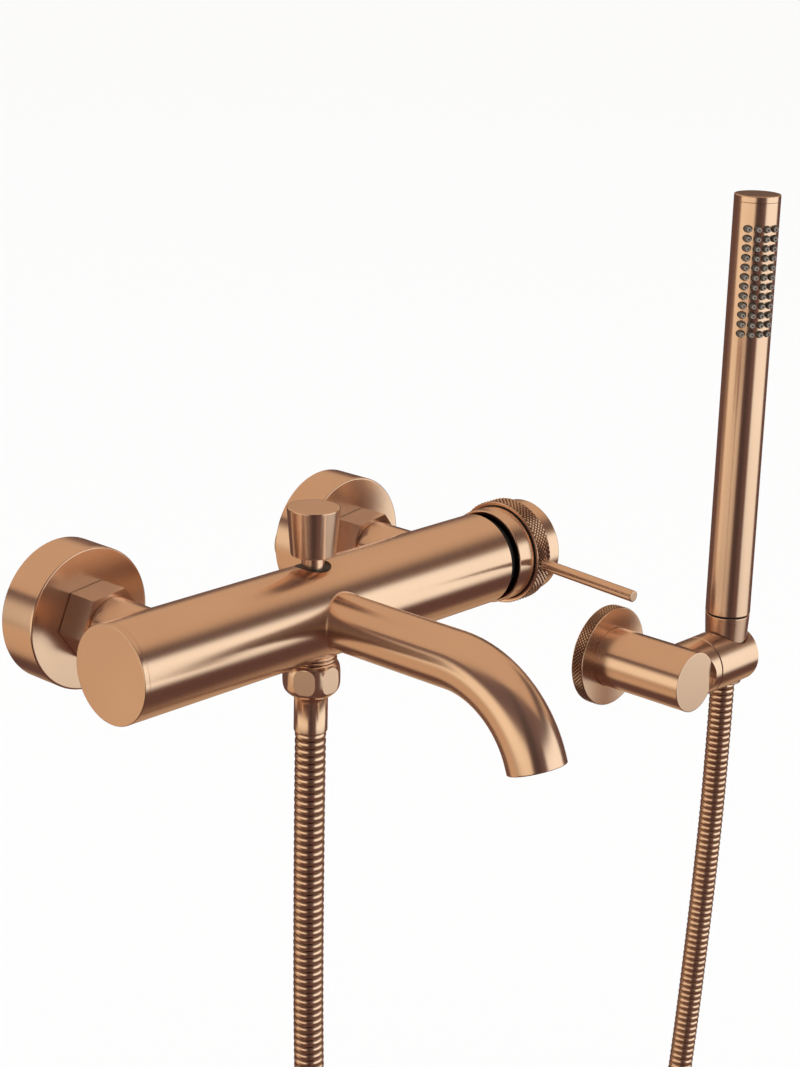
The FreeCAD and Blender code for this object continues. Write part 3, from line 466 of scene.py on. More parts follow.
def hose_piece(name, first_rib, last_rib, body=None):
    """A length of the ribbed hose, from one rib to another."""
    piece = grown(name, hose_ribs, {
        "First rib": first_rib, "Ribs": last_rib - first_rib, "Ribs on path": hose_rib_count,
        "Radius": hose_diameter / 2, "Groove depth": hose_groove_depth, "Sides": hose_sides,
        "Closed ends": False, "Metal": copper_hose}, path_mesh(name + "_path", hose_line))
    return fasten(piece, body, ["shower_hose"])


hose_loop = hose_piece("hose_loop", 0, bend_rib, "mixer")
hose_bend = hose_piece("hose_bend", bend_rib, stretch_rib)
hose_top = hose_piece("hose_top", stretch_rib, hose_rib_count)
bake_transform(hose_bend)
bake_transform(hose_top)


# Studio: what the plating mirrors. Soft panels stand round the object in a grey room, each given by the
# direction of its middle (azimuth from +X towards +Y, elevation), its half width and half height as tangents,
# its edge, its brightness and its tint. Later panels lie over earlier ones.
bright, warm, middling, dim = (1.0, 0.95, 0.84), (1.0, 0.82, 0.60), (1.0, 0.67, 0.42), (1.0, 0.52, 0.43)
panels = [
    ("ceiling", 50, 65, 2.4, 1.22, 0.10, 0.58, middling),
    ("above_bracket", 31, 9, 0.16, 0.15, 0.05, 0.05, dim),
    ("low_left", 127, -32, 0.35, 0.28, 0.08, 0.62, middling),
    ("low_behind", 31, -42, 0.50, 0.24, 0.14, 0.50, middling),
    ("dark_strip_high", 326, 32, 0.62, 0.15, 0.09, 0.09, dim),
    ("front_right", 298, -1, 0.74, 0.43, 0.12, 1.08, bright),
    ("left", 169, -3, 0.80, 0.30, 0.15, 0.98, warm),
    ("camera_gap", 227, 0, 0.22, 1.60, 0.12, 0.06, dim),
]
room_level = 0.125
shadow_light_level = 1.08
least_facing = 0.001
world = bpy.data.worlds.new("studio")
world.use_nodes = True
bpy.context.scene.world = world
room = world.node_tree
room.nodes.clear()


def lit(level, tint):
    """A tint at a brightness, as a colour with full alpha."""
    return [level * channel for channel in tint] + [1]


direction = room.nodes.new("ShaderNodeTexCoord").outputs["Generated"]
colour = lit(room_level, dim)
for name, azimuth, elevation, half_width, half_height, edge, level, tint in panels:
    turn, rise = math.radians(azimuth), math.radians(elevation)
    centre = Vector((math.cos(turn) * math.cos(rise), math.sin(turn) * math.cos(rise), math.sin(rise)))
    across = z_axis.cross(centre).normalized()
    facing = vector_node(room, "DOT_PRODUCT", direction, centre)
    depth = math_node(room, "MAXIMUM", facing, least_facing)
    inside = []
    for side, half in ((across, half_width), (centre.cross(across), half_height)):
        sideways = math_node(room, "DIVIDE", vector_node(room, "DOT_PRODUCT", direction, side), depth)
        distance = math_node(room, "ABSOLUTE", sideways)
        inside.append(smooth_range(room, distance, half - edge, half + edge, 1.0, 0.0))
    colour = mixed(room, math_node(room, "MULTIPLY", *inside), colour, lit(level, tint), label=name)
mirrored = made(room, "ShaderNodeBackground", {"Color": colour})
plain = made(room, "ShaderNodeBackground", {"Color": (1, 1, 1, 1), "Strength": shadow_light_level})
seen_in_metal = room.nodes.new("ShaderNodeLightPath").outputs["Is Glossy Ray"]
chosen = room.nodes.new("ShaderNodeMixShader")
for socket, source in zip(chosen.inputs, (seen_in_metal, plain, mirrored)):
    feed(room, socket, source)
added_node(room, "ShaderNodeOutputWorld", {"Surface": chosen.outputs["Shader"]})


# Floor: a wide pale sheet well below the hose, which takes its soft shadow. The metal doesn't mirror it, so
# that the panels alone shape the reflections.
floor_drop = 0.03
floor_size = 30.0
floor_colour, floor_roughness = (0.93, 0.93, 0.93, 1), 0.9
floor_material, _, floor_shader = new_material("pale_floor")
floor_shader.inputs["Base Color"].default_value = floor_colour
floor_shader.inputs["Roughness"].default_value = floor_roughness
bpy.ops.mesh.primitive_plane_add(size=floor_size, location=(0, 0, cad_low.z - floor_drop))
floor = bpy.context.object
floor.name = "floor"
floor.data.materials.append(floor_material)
floor.visible_glossy = False
floor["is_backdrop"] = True


# Mixer body: a cast brass bar, turned and brushed, that lies along the wall. A plain cap with a crisp edge is
# pressed into its left end, and only a hairline seam shows.
body_radius = width("mixer_body", 2) / 2
body_line = Vector((0, body_centre.y, body_centre.z))
copper_body = brushed_metal("copper_body", body_line, x_axis)
cap_low, body_low = extent("body_end_cap", 0)[0], extent("mixer_body", 0)[0]
cap_edge, cap_seam_edge = 0.35 * mm, 0.12 * mm
cap_seam_width = 0.02 * mm
weld_distance = 0.001 * mm
holding_distance = 0.25 * mm
arc_steps = 4


def smooth_copy(node, body, material, about=None):
    """A node's own surface, welded and smoothed between its sharp edges. Where about gives an axis (origin,
    direction), faces turned about it get that axis's exact normals, so long triangles leave no streaks."""
    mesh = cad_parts[node].data.copy()
    sharp_angle = math.radians(24)
    turned_tolerance = 0.08
    work = bmesh.new()
    work.from_mesh(mesh)
    bmesh.ops.remove_doubles(work, verts=work.verts, dist=weld_distance)
    for edge in work.edges:
        faces = edge.link_faces
        edge.smooth = len(faces) == 2 and faces[0].normal.angle(faces[1].normal, 0) < sharp_angle
    for face in work.faces:
        face.smooth = True
    work.to_mesh(mesh)
    work.free()
    if about:
        origin, axis = about
        normals = [Vector(corner.vector) for corner in mesh.corner_normals]
        for face in mesh.polygons:
            outward = face.center - origin
            outward -= axis * outward.dot(axis)
            outward.normalize()
            if abs(face.normal.dot(axis.cross(outward))) > turned_tolerance:
                continue
            radial, axial = face.normal.dot(outward), face.normal.dot(axis)
            for loop in face.loop_indices:
                ray = mesh.vertices[mesh.loops[loop].vertex_index].co - origin
                ray -= axis * ray.dot(axis)
                if ray.length > weld_distance:
                    normals[loop] = (ray.normalized() * radial + axis * axial).normalized()
        mesh.normals_split_custom_set(normals)
    mesh.materials.clear()
    mesh.materials.append(material)
    return fasten(added_object(node + "_finished", mesh), body, [node])


def new_piece(name, vertices, faces, material, body, nodes=()):
    """A smooth mesh piece, fastened to a body, that stands for the nodes named."""
    mesh = bpy.data.meshes.new(name)
    mesh.from_pydata(vertices, [], faces)
    work = bmesh.new()
    work.from_mesh(mesh)
    bmesh.ops.recalc_face_normals(work, faces=work.faces)
    work.to_mesh(mesh)
    work.free()
    mesh.polygons.foreach_set("use_smooth", [True] * len(mesh.polygons))
    mesh.materials.append(material)
    return fasten(added_object(name, mesh), body, nodes)


def softened(corners, closed):
    """Profile points from (along, radius, rounding) corners: each rounded corner becomes an arc with a
    holding point on either side, so that the flat stretches beside it stay flat in the shading."""
    points = []
    count = len(corners)
    for index, (along, radius, rounding) in enumerate(corners):
        here = Vector((along, radius))
        at_end = not closed and index in (0, count - 1)
        if at_end or rounding == 0:
            points.append(here)
            continue
        before = Vector(corners[index - 1][:2]) - here
        after = Vector(corners[(index + 1) % count][:2]) - here
        turn = math.pi - before.angle(after)
        reach = rounding * math.tan(turn / 2)
        room_needed = 3 * (reach + holding_distance)
        back_way, front_way = before.normalized(), after.normalized()
        centre = here + (back_way + front_way).normalized() * (rounding / math.cos(turn / 2))
        first, last = here + back_way * reach, here + front_way * reach
        start_angle = math.atan2(first.y - centre.y, first.x - centre.x)
        sweep = math.atan2(last.y - centre.y, last.x - centre.x) - start_angle
        sweep = (sweep + math.pi) % (2 * math.pi) - math.pi
        if before.length > room_needed:
            points.append(first + back_way * holding_distance)
        for step in range(arc_steps + 1):
            angle = start_angle + sweep * step / arc_steps
            points.append(centre + Vector((math.cos(angle), math.sin(angle))) * rounding)
        if after.length > room_needed:
            points.append(last + front_way * holding_distance)
    return points


def turned(name, origin, axis, corners, material, body, nodes=(), segments=144, closed=False):
    """A piece turned about the line through origin along axis."""
    across = axis.orthogonal().normalized()
    above = axis.cross(across)
    vertices, faces, rings = [], [], []
    for along, radius in softened(corners, closed):
        count = 1 if radius == 0 else segments
        rings.append([len(vertices) + step for step in range(count)])
        for step in range(count):
            angle = 2 * math.pi * step / segments
            outward = across * math.cos(angle) + above * math.sin(angle)
            vertices.append(origin + axis * along + outward * radius)
    pairs = list(zip(rings, rings[1:]))
    if closed:
        pairs.append((rings[-1], rings[0]))
    for one, two in pairs:
        for step in range(segments):
            after = (step + 1) % segments
            if len(one) == 1 and len(two) == 1:
                continue
            if len(one) == 1:
                faces.append((one[0], two[step], two[after]))
            elif len(two) == 1:
                faces.append((one[step], two[0], one[after]))
            else:
                faces.append((one[step], two[step], two[after], one[after]))
    return new_piece(name, vertices, faces, material, body, nodes)


def drum(low, high, outer, inner, low_edge=0.0, high_edge=0.0):
    """The corners of a drum or ring between two places along its axis, with its outer edges' rounding."""
    return [(low, inner, 0), (low, outer, low_edge), (high, outer, high_edge), (high, inner, 0)]


smooth_copy("mixer_body", "mixer", copper_body, about=(body_line, x_axis))
turned("end_cap", body_line, x_axis,
       drum(cap_low, body_low - cap_seam_width, body_radius, 0, cap_edge, cap_seam_edge),
       copper_body, "mixer", ["body_end_cap"])


# Wall inlets: on either side a brass union comes out of the wall, with a rubber gasket and a white check
# valve. A hexagon nut draws the plated neck of the body onto it, and a turned cover flange slides over it to
# the wall. A fine dark line lies where the neck leaves the body.
flange_wall = 1.6 * mm
flange_edge, flange_back_edge, flange_hole_edge, flange_inner_edge = 0.7 * mm, 0.2 * mm, 0.15 * mm, 0.8 * mm
pipe_room = 12.4 * mm
neck_inside_body = 0.6
neck_over_solid = 0.03 * mm
neck_end_gap, neck_end_edge, neck_end_wall = 0.25 * mm, 0.25 * mm, 4 * mm
neck_seam_room, neck_seam_thickness = 0.1 * mm, 0.14 * mm
seam_steps, seam_sides = 120, 10
inlet_brass = brushed_metal("inlet_brass", body_line, y_axis, 0.3, 0.45, dark=(0.66, 0.50, 0.26, 1),
                            light=(0.78, 0.62, 0.36, 1))


def moulded(name, colour, roughness, grain_scale, spread, metallic=0.0, grain_depth=0.0):
    """A plain moulded or cast surface: one colour that varies a little, with fine grain in its gloss and
    relief."""
    grain_detail, grain_strength = 4, 0.3
    gloss_spread = 0.15
    material, tree, shader = new_material(name)
    shader.inputs["Metallic"].default_value = metallic
    grain = noise(tree, object_place(tree), grain_scale, grain_detail)
    darker = [channel * (1 - spread) for channel in colour] + [1]
    lighter = [min(1, channel * (1 + spread)) for channel in colour] + [1]
    feed(tree, shader.inputs["Base Color"], mixed(tree, grain, darker, lighter))
    feed(tree, shader.inputs["Roughness"], spread_noise(
        tree, grain, roughness * (1 - gloss_spread), roughness * (1 + gloss_spread)))
    relief(tree, shader, grain, grain_depth, grain_strength)
    return material


def finish_kept(material, *nodes):
    """Gives solids that stay as they are their finish."""
    for node in nodes:
        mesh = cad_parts[node].data
        mesh.materials.clear()
        mesh.materials.append(material)


def own_place(tree):
    """The X, Y and Z of a point, in a Geometry Nodes tree."""
    place = made(tree, "GeometryNodeInputPosition")
    return added_node(tree, "ShaderNodeSeparateXYZ", {"Vector": place}).outputs


def round_height(tree, radius, sideways):
    """How far a round side stands out from its axis, at a distance beside its middle."""
    squares = [math_node(tree, "POWER", length, 2) for length in (radius, sideways)]
    return math_node(tree, "SQRT", math_node(tree, "SUBTRACT", *squares))


def seam_tree():
    """A fine line that lies round a branch, where this comes out of the body's round side along Y."""
    tree, given = new_tree("seam_line", Float=["Branch radius", "Body radius", "Side", "Thickness"],
                           Vector=["Middle"], Material=["Metal"])
    ring = made(tree, "GeometryNodeCurvePrimitiveCircle", {
        "Resolution": seam_steps, "Radius": given["Branch radius"]})
    flat = own_place(tree)
    height = round_height(tree, given["Body radius"], flat["Y"])
    lifted = made(tree, "ShaderNodeCombineXYZ", {
        "X": flat["X"], "Y": math_node(tree, "MULTIPLY", height, given["Side"]), "Z": flat["Y"]})
    laid = moved(tree, ring, vector_node(tree, "ADD", lifted, given["Middle"]))
    end_tree(tree, swept(tree, laid, seam_sides, given["Thickness"]), given["Metal"])
    return tree


seam_line = seam_tree()
white_plastic = moulded("white_plastic", (0.72, 0.72, 0.71), 0.4, 400, 0.03)
black_rubber = moulded("black_rubber", (0.02, 0.02, 0.02), 0.6, 800, 0.2)
# Near black, for the fine dark seams where the necks leave the body, and as painted shade on what shows only
# in shadow: the gap at the knurled ring's foot, the groove under the handset and the nozzles' holes.
seam_and_shade_black = moulded("seam_and_shade_black", (0.01, 0.009, 0.008), 0.6, 500, 0.2)
for side in ("left", "right"):
    flange, nut, neck = "wall_flange_" + side, "union_nut_" + side, "inlet_neck_" + side
    copper_inlet = brushed_metal("copper_inlet_" + side, middle(flange), y_axis, face_stretch=0.4)
    inlet_line = Vector((middle(flange).x, 0, middle(flange).z))
    flange_front, flange_back = extent(flange, 1)
    flange_radius = width(flange, 0) / 2
    turned("flange_" + side, inlet_line, y_axis, [
        (flange_back, flange_radius, flange_back_edge), (flange_front, flange_radius, flange_edge),
        (flange_front, pipe_room, flange_hole_edge), (flange_front + flange_wall, pipe_room, 0),
        (flange_front + flange_wall, flange_radius - flange_wall, flange_inner_edge),
        (flange_back, flange_radius - flange_wall, 0)],
        copper_inlet, "mixer", [flange], segments=192, closed=True)
    smooth_copy(nut, "mixer", copper_inlet)
    neck_end = extent(nut, 1)[0] - neck_end_gap
    neck_radius = width(neck, 0) / 2 + neck_over_solid
    turned("neck_" + side, inlet_line, y_axis, [
        (body_centre.y + body_radius * neck_inside_body, neck_radius, 0),
        (neck_end, neck_radius, neck_end_edge), (neck_end, neck_radius - neck_end_wall, 0)],
        copper_inlet, "mixer")
    fasten(grown("neck_seam_" + side, seam_line, {
        "Branch radius": neck_radius + neck_seam_room, "Body radius": body_radius,
        "Middle": Vector((inlet_line.x, body_centre.y, body_centre.z)), "Side": 1.0,
        "Thickness": neck_seam_thickness, "Metal": seam_and_shade_black}), "mixer")
    finish_kept(copper_inlet, neck)
    finish_kept(inlet_brass, "eccentric_union_" + side)
    finish_kept(black_rubber, "union_gasket_" + side)
    finish_kept(white_plastic, "check_valve_" + side)


# Cartridge: the ceramic cartridge that the lever works, in a plastic housing screwed into the body's right
# end. A dark cover ring closes the gap that stays between the body and the handle.
black_ring = moulded("black_ring", (0.012, 0.011, 0.011), 0.42, 900, 0.3, grain_depth=0.01 * mm)
zinc_steel = moulded("zinc_steel", (0.55, 0.55, 0.57), 0.35, 600, 0.06, metallic=1.0)
cover_low, cover_high = extent("cartridge_cover", 0)
cover_radius = width("cartridge_cover", 2) / 2
cover_low_bore, cover_high_bore = 12 * mm, 10.8 * mm
cover_low_edge, cover_high_edge = 0.2 * mm, 0.3 * mm
turned("cover_ring", body_line, x_axis, [
    (cover_low, cover_low_bore, 0), (cover_low, cover_radius, cover_low_edge),
    (cover_high, cover_radius, cover_high_edge), (cover_high, cover_high_bore, 0)],
    black_ring, "mixer", ["cartridge_cover"])
finish_kept(white_plastic, "cartridge_housing", "cartridge_rotor")
finish_kept(inlet_brass, "cartridge_nut", "cartridge_stem")
finish_kept(zinc_steel, "cartridge_pivot_pin")


# Handle: a cup that turns and tilts on the cartridge, closed by a plug. A ring with crossed knurling is
# pressed over its outer edge, between two narrow plain rims. A thin lever rod screws into it from the front.
cup_low, cup_high = extent("handle_cup", 0)
cup_radius = width("handle_cup", 2) / 2
rim_radius = cup_radius - 1.75 * mm
cup_floor, plug_seat = cup_low + 4 * mm, cup_high - 6 * mm
cup_low_edge, cup_high_edge, cup_mouth_edge, cup_rim_edge = 0.3 * mm, 0.4 * mm, 0.15 * mm, 0.2 * mm
screw_room = 6 * mm
# Where painted shade lies inside the cup's mouth, round the cover ring.
mouth_shade_radius, mouth_shade_end = cup_radius - 0.75 * mm, cup_low + 6 * mm
fade_across, fade_along = 0.15 * mm, 0.5 * mm
plug_low, plug_high = extent("handle_plug", 0)
plug_clearance, plug_edge = 0.1 * mm, 0.25 * mm


def distance_from(tree, origin, axis):
    """Shader values for a point's distance from a line and its place along it."""
    offset = vector_node(tree, "SUBTRACT", object_place(tree), origin)
    return (vector_node(tree, "LENGTH", vector_node(tree, "CROSS_PRODUCT", axis, offset)),
            vector_node(tree, "DOT_PRODUCT", offset, axis))


def short_of(tree, value, limit, fade):
    """1 where a value stays below a limit, fading to 0 round the limit."""
    return smooth_range(tree, value, limit - fade, limit + fade, 1.0, 0.0)


copper_cup = brushed_metal("copper_cup", body_line, x_axis)
cup_tree = copper_cup.node_tree
reach, along = distance_from(cup_tree, body_line, x_axis)
# Painted shade: the plating darkens inside the cup's mouth, within a radius and near its open end.
paint_shade(copper_cup, math_node(cup_tree, "MULTIPLY", short_of(cup_tree, reach, mouth_shade_radius, fade_across),
                           short_of(cup_tree, along, mouth_shade_end, fade_along)))
turned("handle_skirt", body_line, x_axis, [
    (cup_low, rim_radius, cup_mouth_edge), (cup_low, cup_radius, cup_low_edge),
    (cup_high, cup_radius, cup_high_edge), (cup_high, rim_radius, cup_rim_edge), (plug_seat, rim_radius, 0),
    (plug_seat, screw_room, 0), (cup_floor, screw_room, 0), (cup_floor, rim_radius, 0)],
    copper_cup, "handle", ["handle_cup"], segments=192, closed=True)
turned("end_plug", body_line, x_axis,
       drum(plug_low, plug_high, rim_radius - plug_clearance, 0, high_edge=plug_edge),
       copper_body, "handle", ["handle_plug"])
ring_low, ring_high = extent("knurled_ring", 0)
ring_radius = width("knurled_ring", 2) / 2
ring_rim = 0.5 * mm
ring_rim_radius = ring_radius - 0.25 * mm
ring_rim_edge = 0.2 * mm
ring_foot = cup_radius - 0.2 * mm
knurl_under_rim = 0.1 * mm
knurl_depth = 0.5 * mm
knurl_pitch = 2.1 * mm


def knurl_tree():
    """A band of small pyramids between crossed diagonal grooves, made round Z and then turned and moved."""
    tree, given = new_tree("knurled_band", Float=["Radius", "Depth", "Low", "High"],
                           Int=["Points round", "Rows"], Vector=["Middle", "Turn"], Material=["Metal"])
    grid = made(tree, "GeometryNodeMeshGrid", {
        "Size X": 1.0, "Size Y": 1.0, "Vertices X": math_node(tree, "ADD", given["Points round"], 1),
        "Vertices Y": math_node(tree, "ADD", given["Rows"], 1)})
    flat = own_place(tree)
    round_share, row_share = (math_node(tree, "ADD", flat[axis], 0.5) for axis in ("X", "Y"))
    step = math_node(tree, "ROUND", math_node(tree, "MULTIPLY", round_share, given["Points round"]))
    row = math_node(tree, "ROUND", math_node(tree, "MULTIPLY", row_share, given["Rows"]))
    sunk = math_node(tree, "MODULO", math_node(tree, "ADD", step, row), 2)
    reach = math_node(tree, "SUBTRACT", given["Radius"], math_node(tree, "MULTIPLY", sunk, given["Depth"]))
    angle = math_node(tree, "MULTIPLY", step, math_node(tree, "DIVIDE", 2 * math.pi, given["Points round"]))
    span = math_node(tree, "SUBTRACT", given["High"], given["Low"])
    wound = made(tree, "ShaderNodeCombineXYZ", {
        "X": math_node(tree, "MULTIPLY", reach, math_node(tree, "COSINE", angle)),
        "Y": math_node(tree, "MULTIPLY", reach, math_node(tree, "SINE", angle)),
        "Z": math_node(tree, "ADD", given["Low"], math_node(tree, "MULTIPLY", row_share, span))})
    joined = made(tree, "GeometryNodeMergeByDistance", {
        "Geometry": moved(tree, grid, wound), "Distance": 10 * weld_distance})
    split = made(tree, "GeometryNodeTriangulate", {"Mesh": joined}, quad_method="SHORTEST_DIAGONAL")
    placed = made(tree, "GeometryNodeTransform", {
        "Geometry": split, "Translation": given["Middle"], "Rotation": given["Turn"]})
    end_tree(tree, placed, given["Metal"], smooth=False)
    return tree


knurled_band = knurl_tree()


def knurled_metal(name, origin, axis, radius, depth, unshaded_share=0.25):
    """Copper plating with painted shade in its grooves: darkest at a depth under a radius, and plain and
    bright on the points that stand out, in the outermost share of that depth."""
    material = brushed_metal(name, origin, axis, 0.20, 0.26, stretch=0)
    reach, _ = distance_from(material.node_tree, origin, axis)
    paint_shade(material, smooth_range(material.node_tree, reach, radius - depth, radius - depth * unshaded_share,
                                1.0, 0.0))
    return material


def knurl(name, origin, turn, radius, low, high, material):
    """A knurled band between two places along its axis, with a pitch that goes evenly round and across."""
    return grown(name, knurled_band, {
        "Radius": radius, "Depth": knurl_depth, "Low": low, "High": high,
        "Points round": 2 * round(2 * math.pi * radius / knurl_pitch),
        "Rows": 2 * round((high - low) / knurl_pitch), "Middle": origin, "Turn": turn, "Metal": material})


def cup_ring(name, low, high, outer, inner, edge, material):
    """A narrow ring round the cup, with its foot a little inside the cup's skin."""
    turned(name, body_line, x_axis, drum(low, high, outer, inner, edge, edge), material, "handle",
           segments=192, closed=True)


# Painted shade in the grooves of the ring's knurling.
copper_ring_knurl = knurled_metal("copper_ring_knurl", body_line, x_axis, ring_radius, knurl_depth)
turn_to_x = Vector((0, math.radians(90), 0))
knurl_low, knurl_high = ring_low + ring_rim - knurl_under_rim, ring_high - ring_rim + knurl_under_rim
fasten(knurl("ring_knurl", body_line, turn_to_x, ring_radius, knurl_low, knurl_high, copper_ring_knurl),
       "handle", ["knurled_ring"])
for name, low in (("ring_rim_near", ring_low), ("ring_rim_far", ring_high - ring_rim)):
    cup_ring(name, low, low + ring_rim, ring_rim_radius, ring_foot, ring_rim_edge, copper_body)
# Painted shadow: a thin near-black ring at the knurled ring's foot, a little proud of the cup, stands for the
# shade in the gap between them.
shadow_low, shadow_high = ring_low - 0.4 * mm, ring_low + 0.1 * mm
shadow_radius, shadow_foot = cup_radius + 0.04 * mm, cup_radius - 0.3 * mm
cup_ring("ring_shadow", shadow_low, shadow_high, shadow_radius, shadow_foot, 0, seam_and_shade_black)
lever_dip = math.radians(3)
lever_direction = Vector((0, -math.cos(lever_dip), -math.sin(lever_dip)))
lever_origin = Vector(((ring_low + ring_high) / 2, body_centre.y, body_centre.z))
lever_seat, lever_reach = 16 * mm, 72 * mm
lever_radius, lever_edge = 2.5 * mm, 0.35 * mm
copper_lever = brushed_metal("copper_lever", middle("lever_rod"), y_axis)
turned("lever", lever_origin, lever_direction, [
    (lever_seat, lever_radius, 0), (lever_reach, lever_radius, lever_edge), (lever_reach, 0, 0)],
    copper_lever, "handle", ["lever_rod"], segments=64)
finish_kept(zinc_steel, "handle_screw")


# Diverter: a small tapered knob that is pulled up to send the water to the hose. It sits on a stem with a
# brass piston and a rubber seal, which comes out of the body's top through a dark gland.
copper_outlet = brushed_metal("copper_outlet", outlet_line, z_axis)
knob_low, knob_high = extent("diverter_knob", 2)
knob_top_radius = width("diverter_knob", 0) / 2
knob_bottom_radius = 9.1 * mm
knob_bottom_edge, knob_top_edge = 0.35 * mm, 0.45 * mm
turned("knob", outlet_line, z_axis, [
    (knob_low, 0, 0), (knob_low, knob_bottom_radius, knob_bottom_edge),
    (knob_high, knob_top_radius, knob_top_edge), (knob_high, 0, 0)],
    copper_outlet, "diverter", ["diverter_knob"])
stem_radius = width("diverter_stem", 0) / 2
stem_low, stem_high = extent("diverter_gland", 2)[0], knob_low + 0.1 * mm
turned("stem", outlet_line, z_axis, [(stem_low, stem_radius, 0), (stem_high, stem_radius, 0)],
       copper_outlet, "diverter", ["diverter_stem"], segments=96)
smooth_copy("diverter_gland", "mixer", black_ring)
finish_kept(inlet_brass, "diverter_piston")
finish_kept(black_rubber, "diverter_seal")


# Spout: a plated brass tube, bent down near its end, with a softly rounded lip. A nipple and a grub screw
# hold it on the front of the body, a bright line shows where they meet, and an aerator sits in its mouth.
spout_radius = width("spout", 0) / 2
spout_wall = 1.6 * mm
spout_bore = spout_radius - spout_wall
spout_lip = 0.45 * mm
spout_bend_radius = 44.5 * mm
spout_turn = math.radians(70)
spout_tail = 3.0 * mm
spout_straight = 77.0 * mm
spout_length = spout_straight + spout_bend_radius * spout_turn + spout_tail
spout_inside_body = 15 * mm
spout_bore_depth = 22 * mm
spout_root = Vector((outlet_line.x, body_centre.y, body_centre.z))
spout_seam_room, spout_seam_thickness = 0.15 * mm, 0.34 * mm


def along_spout(distance):
    """A point on the spout's centre line, at a distance from the body's axis."""
    if distance <= spout_straight:
        return spout_root - y_axis * distance
    angle = min((distance - spout_straight) / spout_bend_radius, spout_turn)
    tail = max(distance - spout_straight - spout_bend_radius * spout_turn, 0.0)
    forward = spout_straight + spout_bend_radius * math.sin(angle) + tail * math.cos(angle)
    down = spout_bend_radius * (1 - math.cos(angle)) + tail * math.sin(angle)
    return spout_root - Vector((0, forward, down))


def kept_value(tree, name, kind):
    """A value that a mesh keeps under a name, in a Geometry Nodes tree."""
    node = added_node(tree, "GeometryNodeInputNamedAttribute", {"Name": name}, data_type=kind)
    return node.outputs["Attribute"]


def bent_tube_tree():
    """A round tube along each of the paths it gets, as wide as "radius_here" says at their points. A path
    that has "bore" set makes an inside wall."""
    tree, given = new_tree("bent_tube", Geometry=["Paths"], Int=["Sides"], Material=["Metal"])
    route = made(tree, "GeometryNodeMeshToCurve", {"Mesh": given["Paths"]})
    skin = swept(tree, route, given["Sides"], kept_value(tree, "radius_here", "FLOAT"))
    bore = kept_value(tree, "bore", "FLOAT")
    end_tree(tree, made(tree, "GeometryNodeFlipFaces", {"Mesh": skin, "Selection": bore}), given["Metal"])
    return tree


spout_sides = 128
skin_steps, lip_steps, bore_steps = 73, 7, 12
lip_hold, lip_gap = 0.8 * spout_lip, 0.005 * mm
skin_span = spout_length - spout_lip - lip_hold - spout_inside_body
skin_stations = [(spout_inside_body + skin_span * step / (skin_steps - 1), spout_radius)
                 for step in range(skin_steps)]
for step in range(lip_steps):
    angle = math.pi / 2 * step / (lip_steps - 1)
    skin_stations.append((spout_length - spout_lip + spout_lip * math.sin(angle),
                          spout_radius - spout_lip + spout_lip * math.cos(angle)))
skin_stations.append((spout_length + lip_gap, spout_bore))
bore_stations = [(spout_length - spout_bore_depth * step / (bore_steps - 1), spout_bore)
                 for step in range(bore_steps)]
spout_paths = path_mesh("spout_paths", *(
    [along_spout(distance) for distance, _ in stations] for stations in (skin_stations, bore_stations)))
for name, numbers in (("radius_here", [radius for _, radius in skin_stations + bore_stations]),
                      ("bore", [0.0] * len(skin_stations) + [1.0] * len(bore_stations))):
    spout_paths.attributes.new(name, "FLOAT", "POINT").data.foreach_set("value", numbers)
copper_spout = brushed_metal("copper_spout", Vector((outlet_line.x, 0, body_centre.z)), y_axis)
fasten(grown("spout_tube", bent_tube_tree(), {"Sides": spout_sides, "Metal": copper_spout}, spout_paths),
       "mixer", ["spout"])
mouth = along_spout(spout_length)
mouth_way = Vector((0, -math.cos(spout_turn), -math.sin(spout_turn)))
aerator_radius, aerator_bore = spout_bore - 0.05 * mm, spout_bore - 1.35 * mm
aerator_back, aerator_front = -9 * mm, -1 * mm
aerator_edge = 0.15 * mm
turned("aerator_rim", mouth, mouth_way, [
    (aerator_back, aerator_radius, 0), (aerator_front, aerator_radius, aerator_edge),
    (aerator_front, aerator_bore, aerator_edge), (aerator_back, aerator_bore, 0)],
    copper_spout, "mixer", ["aerator_ring"], segments=96, closed=True)
grey_plastic = moulded("grey_plastic", (0.26, 0.225, 0.19), 0.40, 700, 0.10, grain_depth=0.01 * mm)
smooth_copy("aerator_insert", "mixer", grey_plastic)
fasten(grown("spout_seam", seam_line, {
    "Branch radius": spout_radius + spout_seam_room, "Body radius": body_radius, "Middle": spout_root,
    "Side": -1.0, "Thickness": spout_seam_thickness, "Metal": copper_spout}), "mixer")
finish_kept(inlet_brass, "spout_nipple")
finish_kept(zinc_steel, "spout_grub_screw")


# Hose outlet: a threaded nipple under the body, of which two turns stay in sight. The hose's barrel-shaped
# nut, cut by six flats that come out as ovals, screws onto it over a rubber washer, and a crimped ferrule
# ends the hose.
thread_radius = width("hose_outlet_nipple", 0) / 2
thread_pitch = 1.65 * mm
thread_depth = 1.2 * mm
thread_sides = 144
nut_low, nut_high = extent("hose_nut", 2)
thread_low, thread_top = nut_high - 2.7 * mm, body_centre.z - body_radius * 0.55
thread_turns = int((thread_top - thread_low) / thread_pitch)
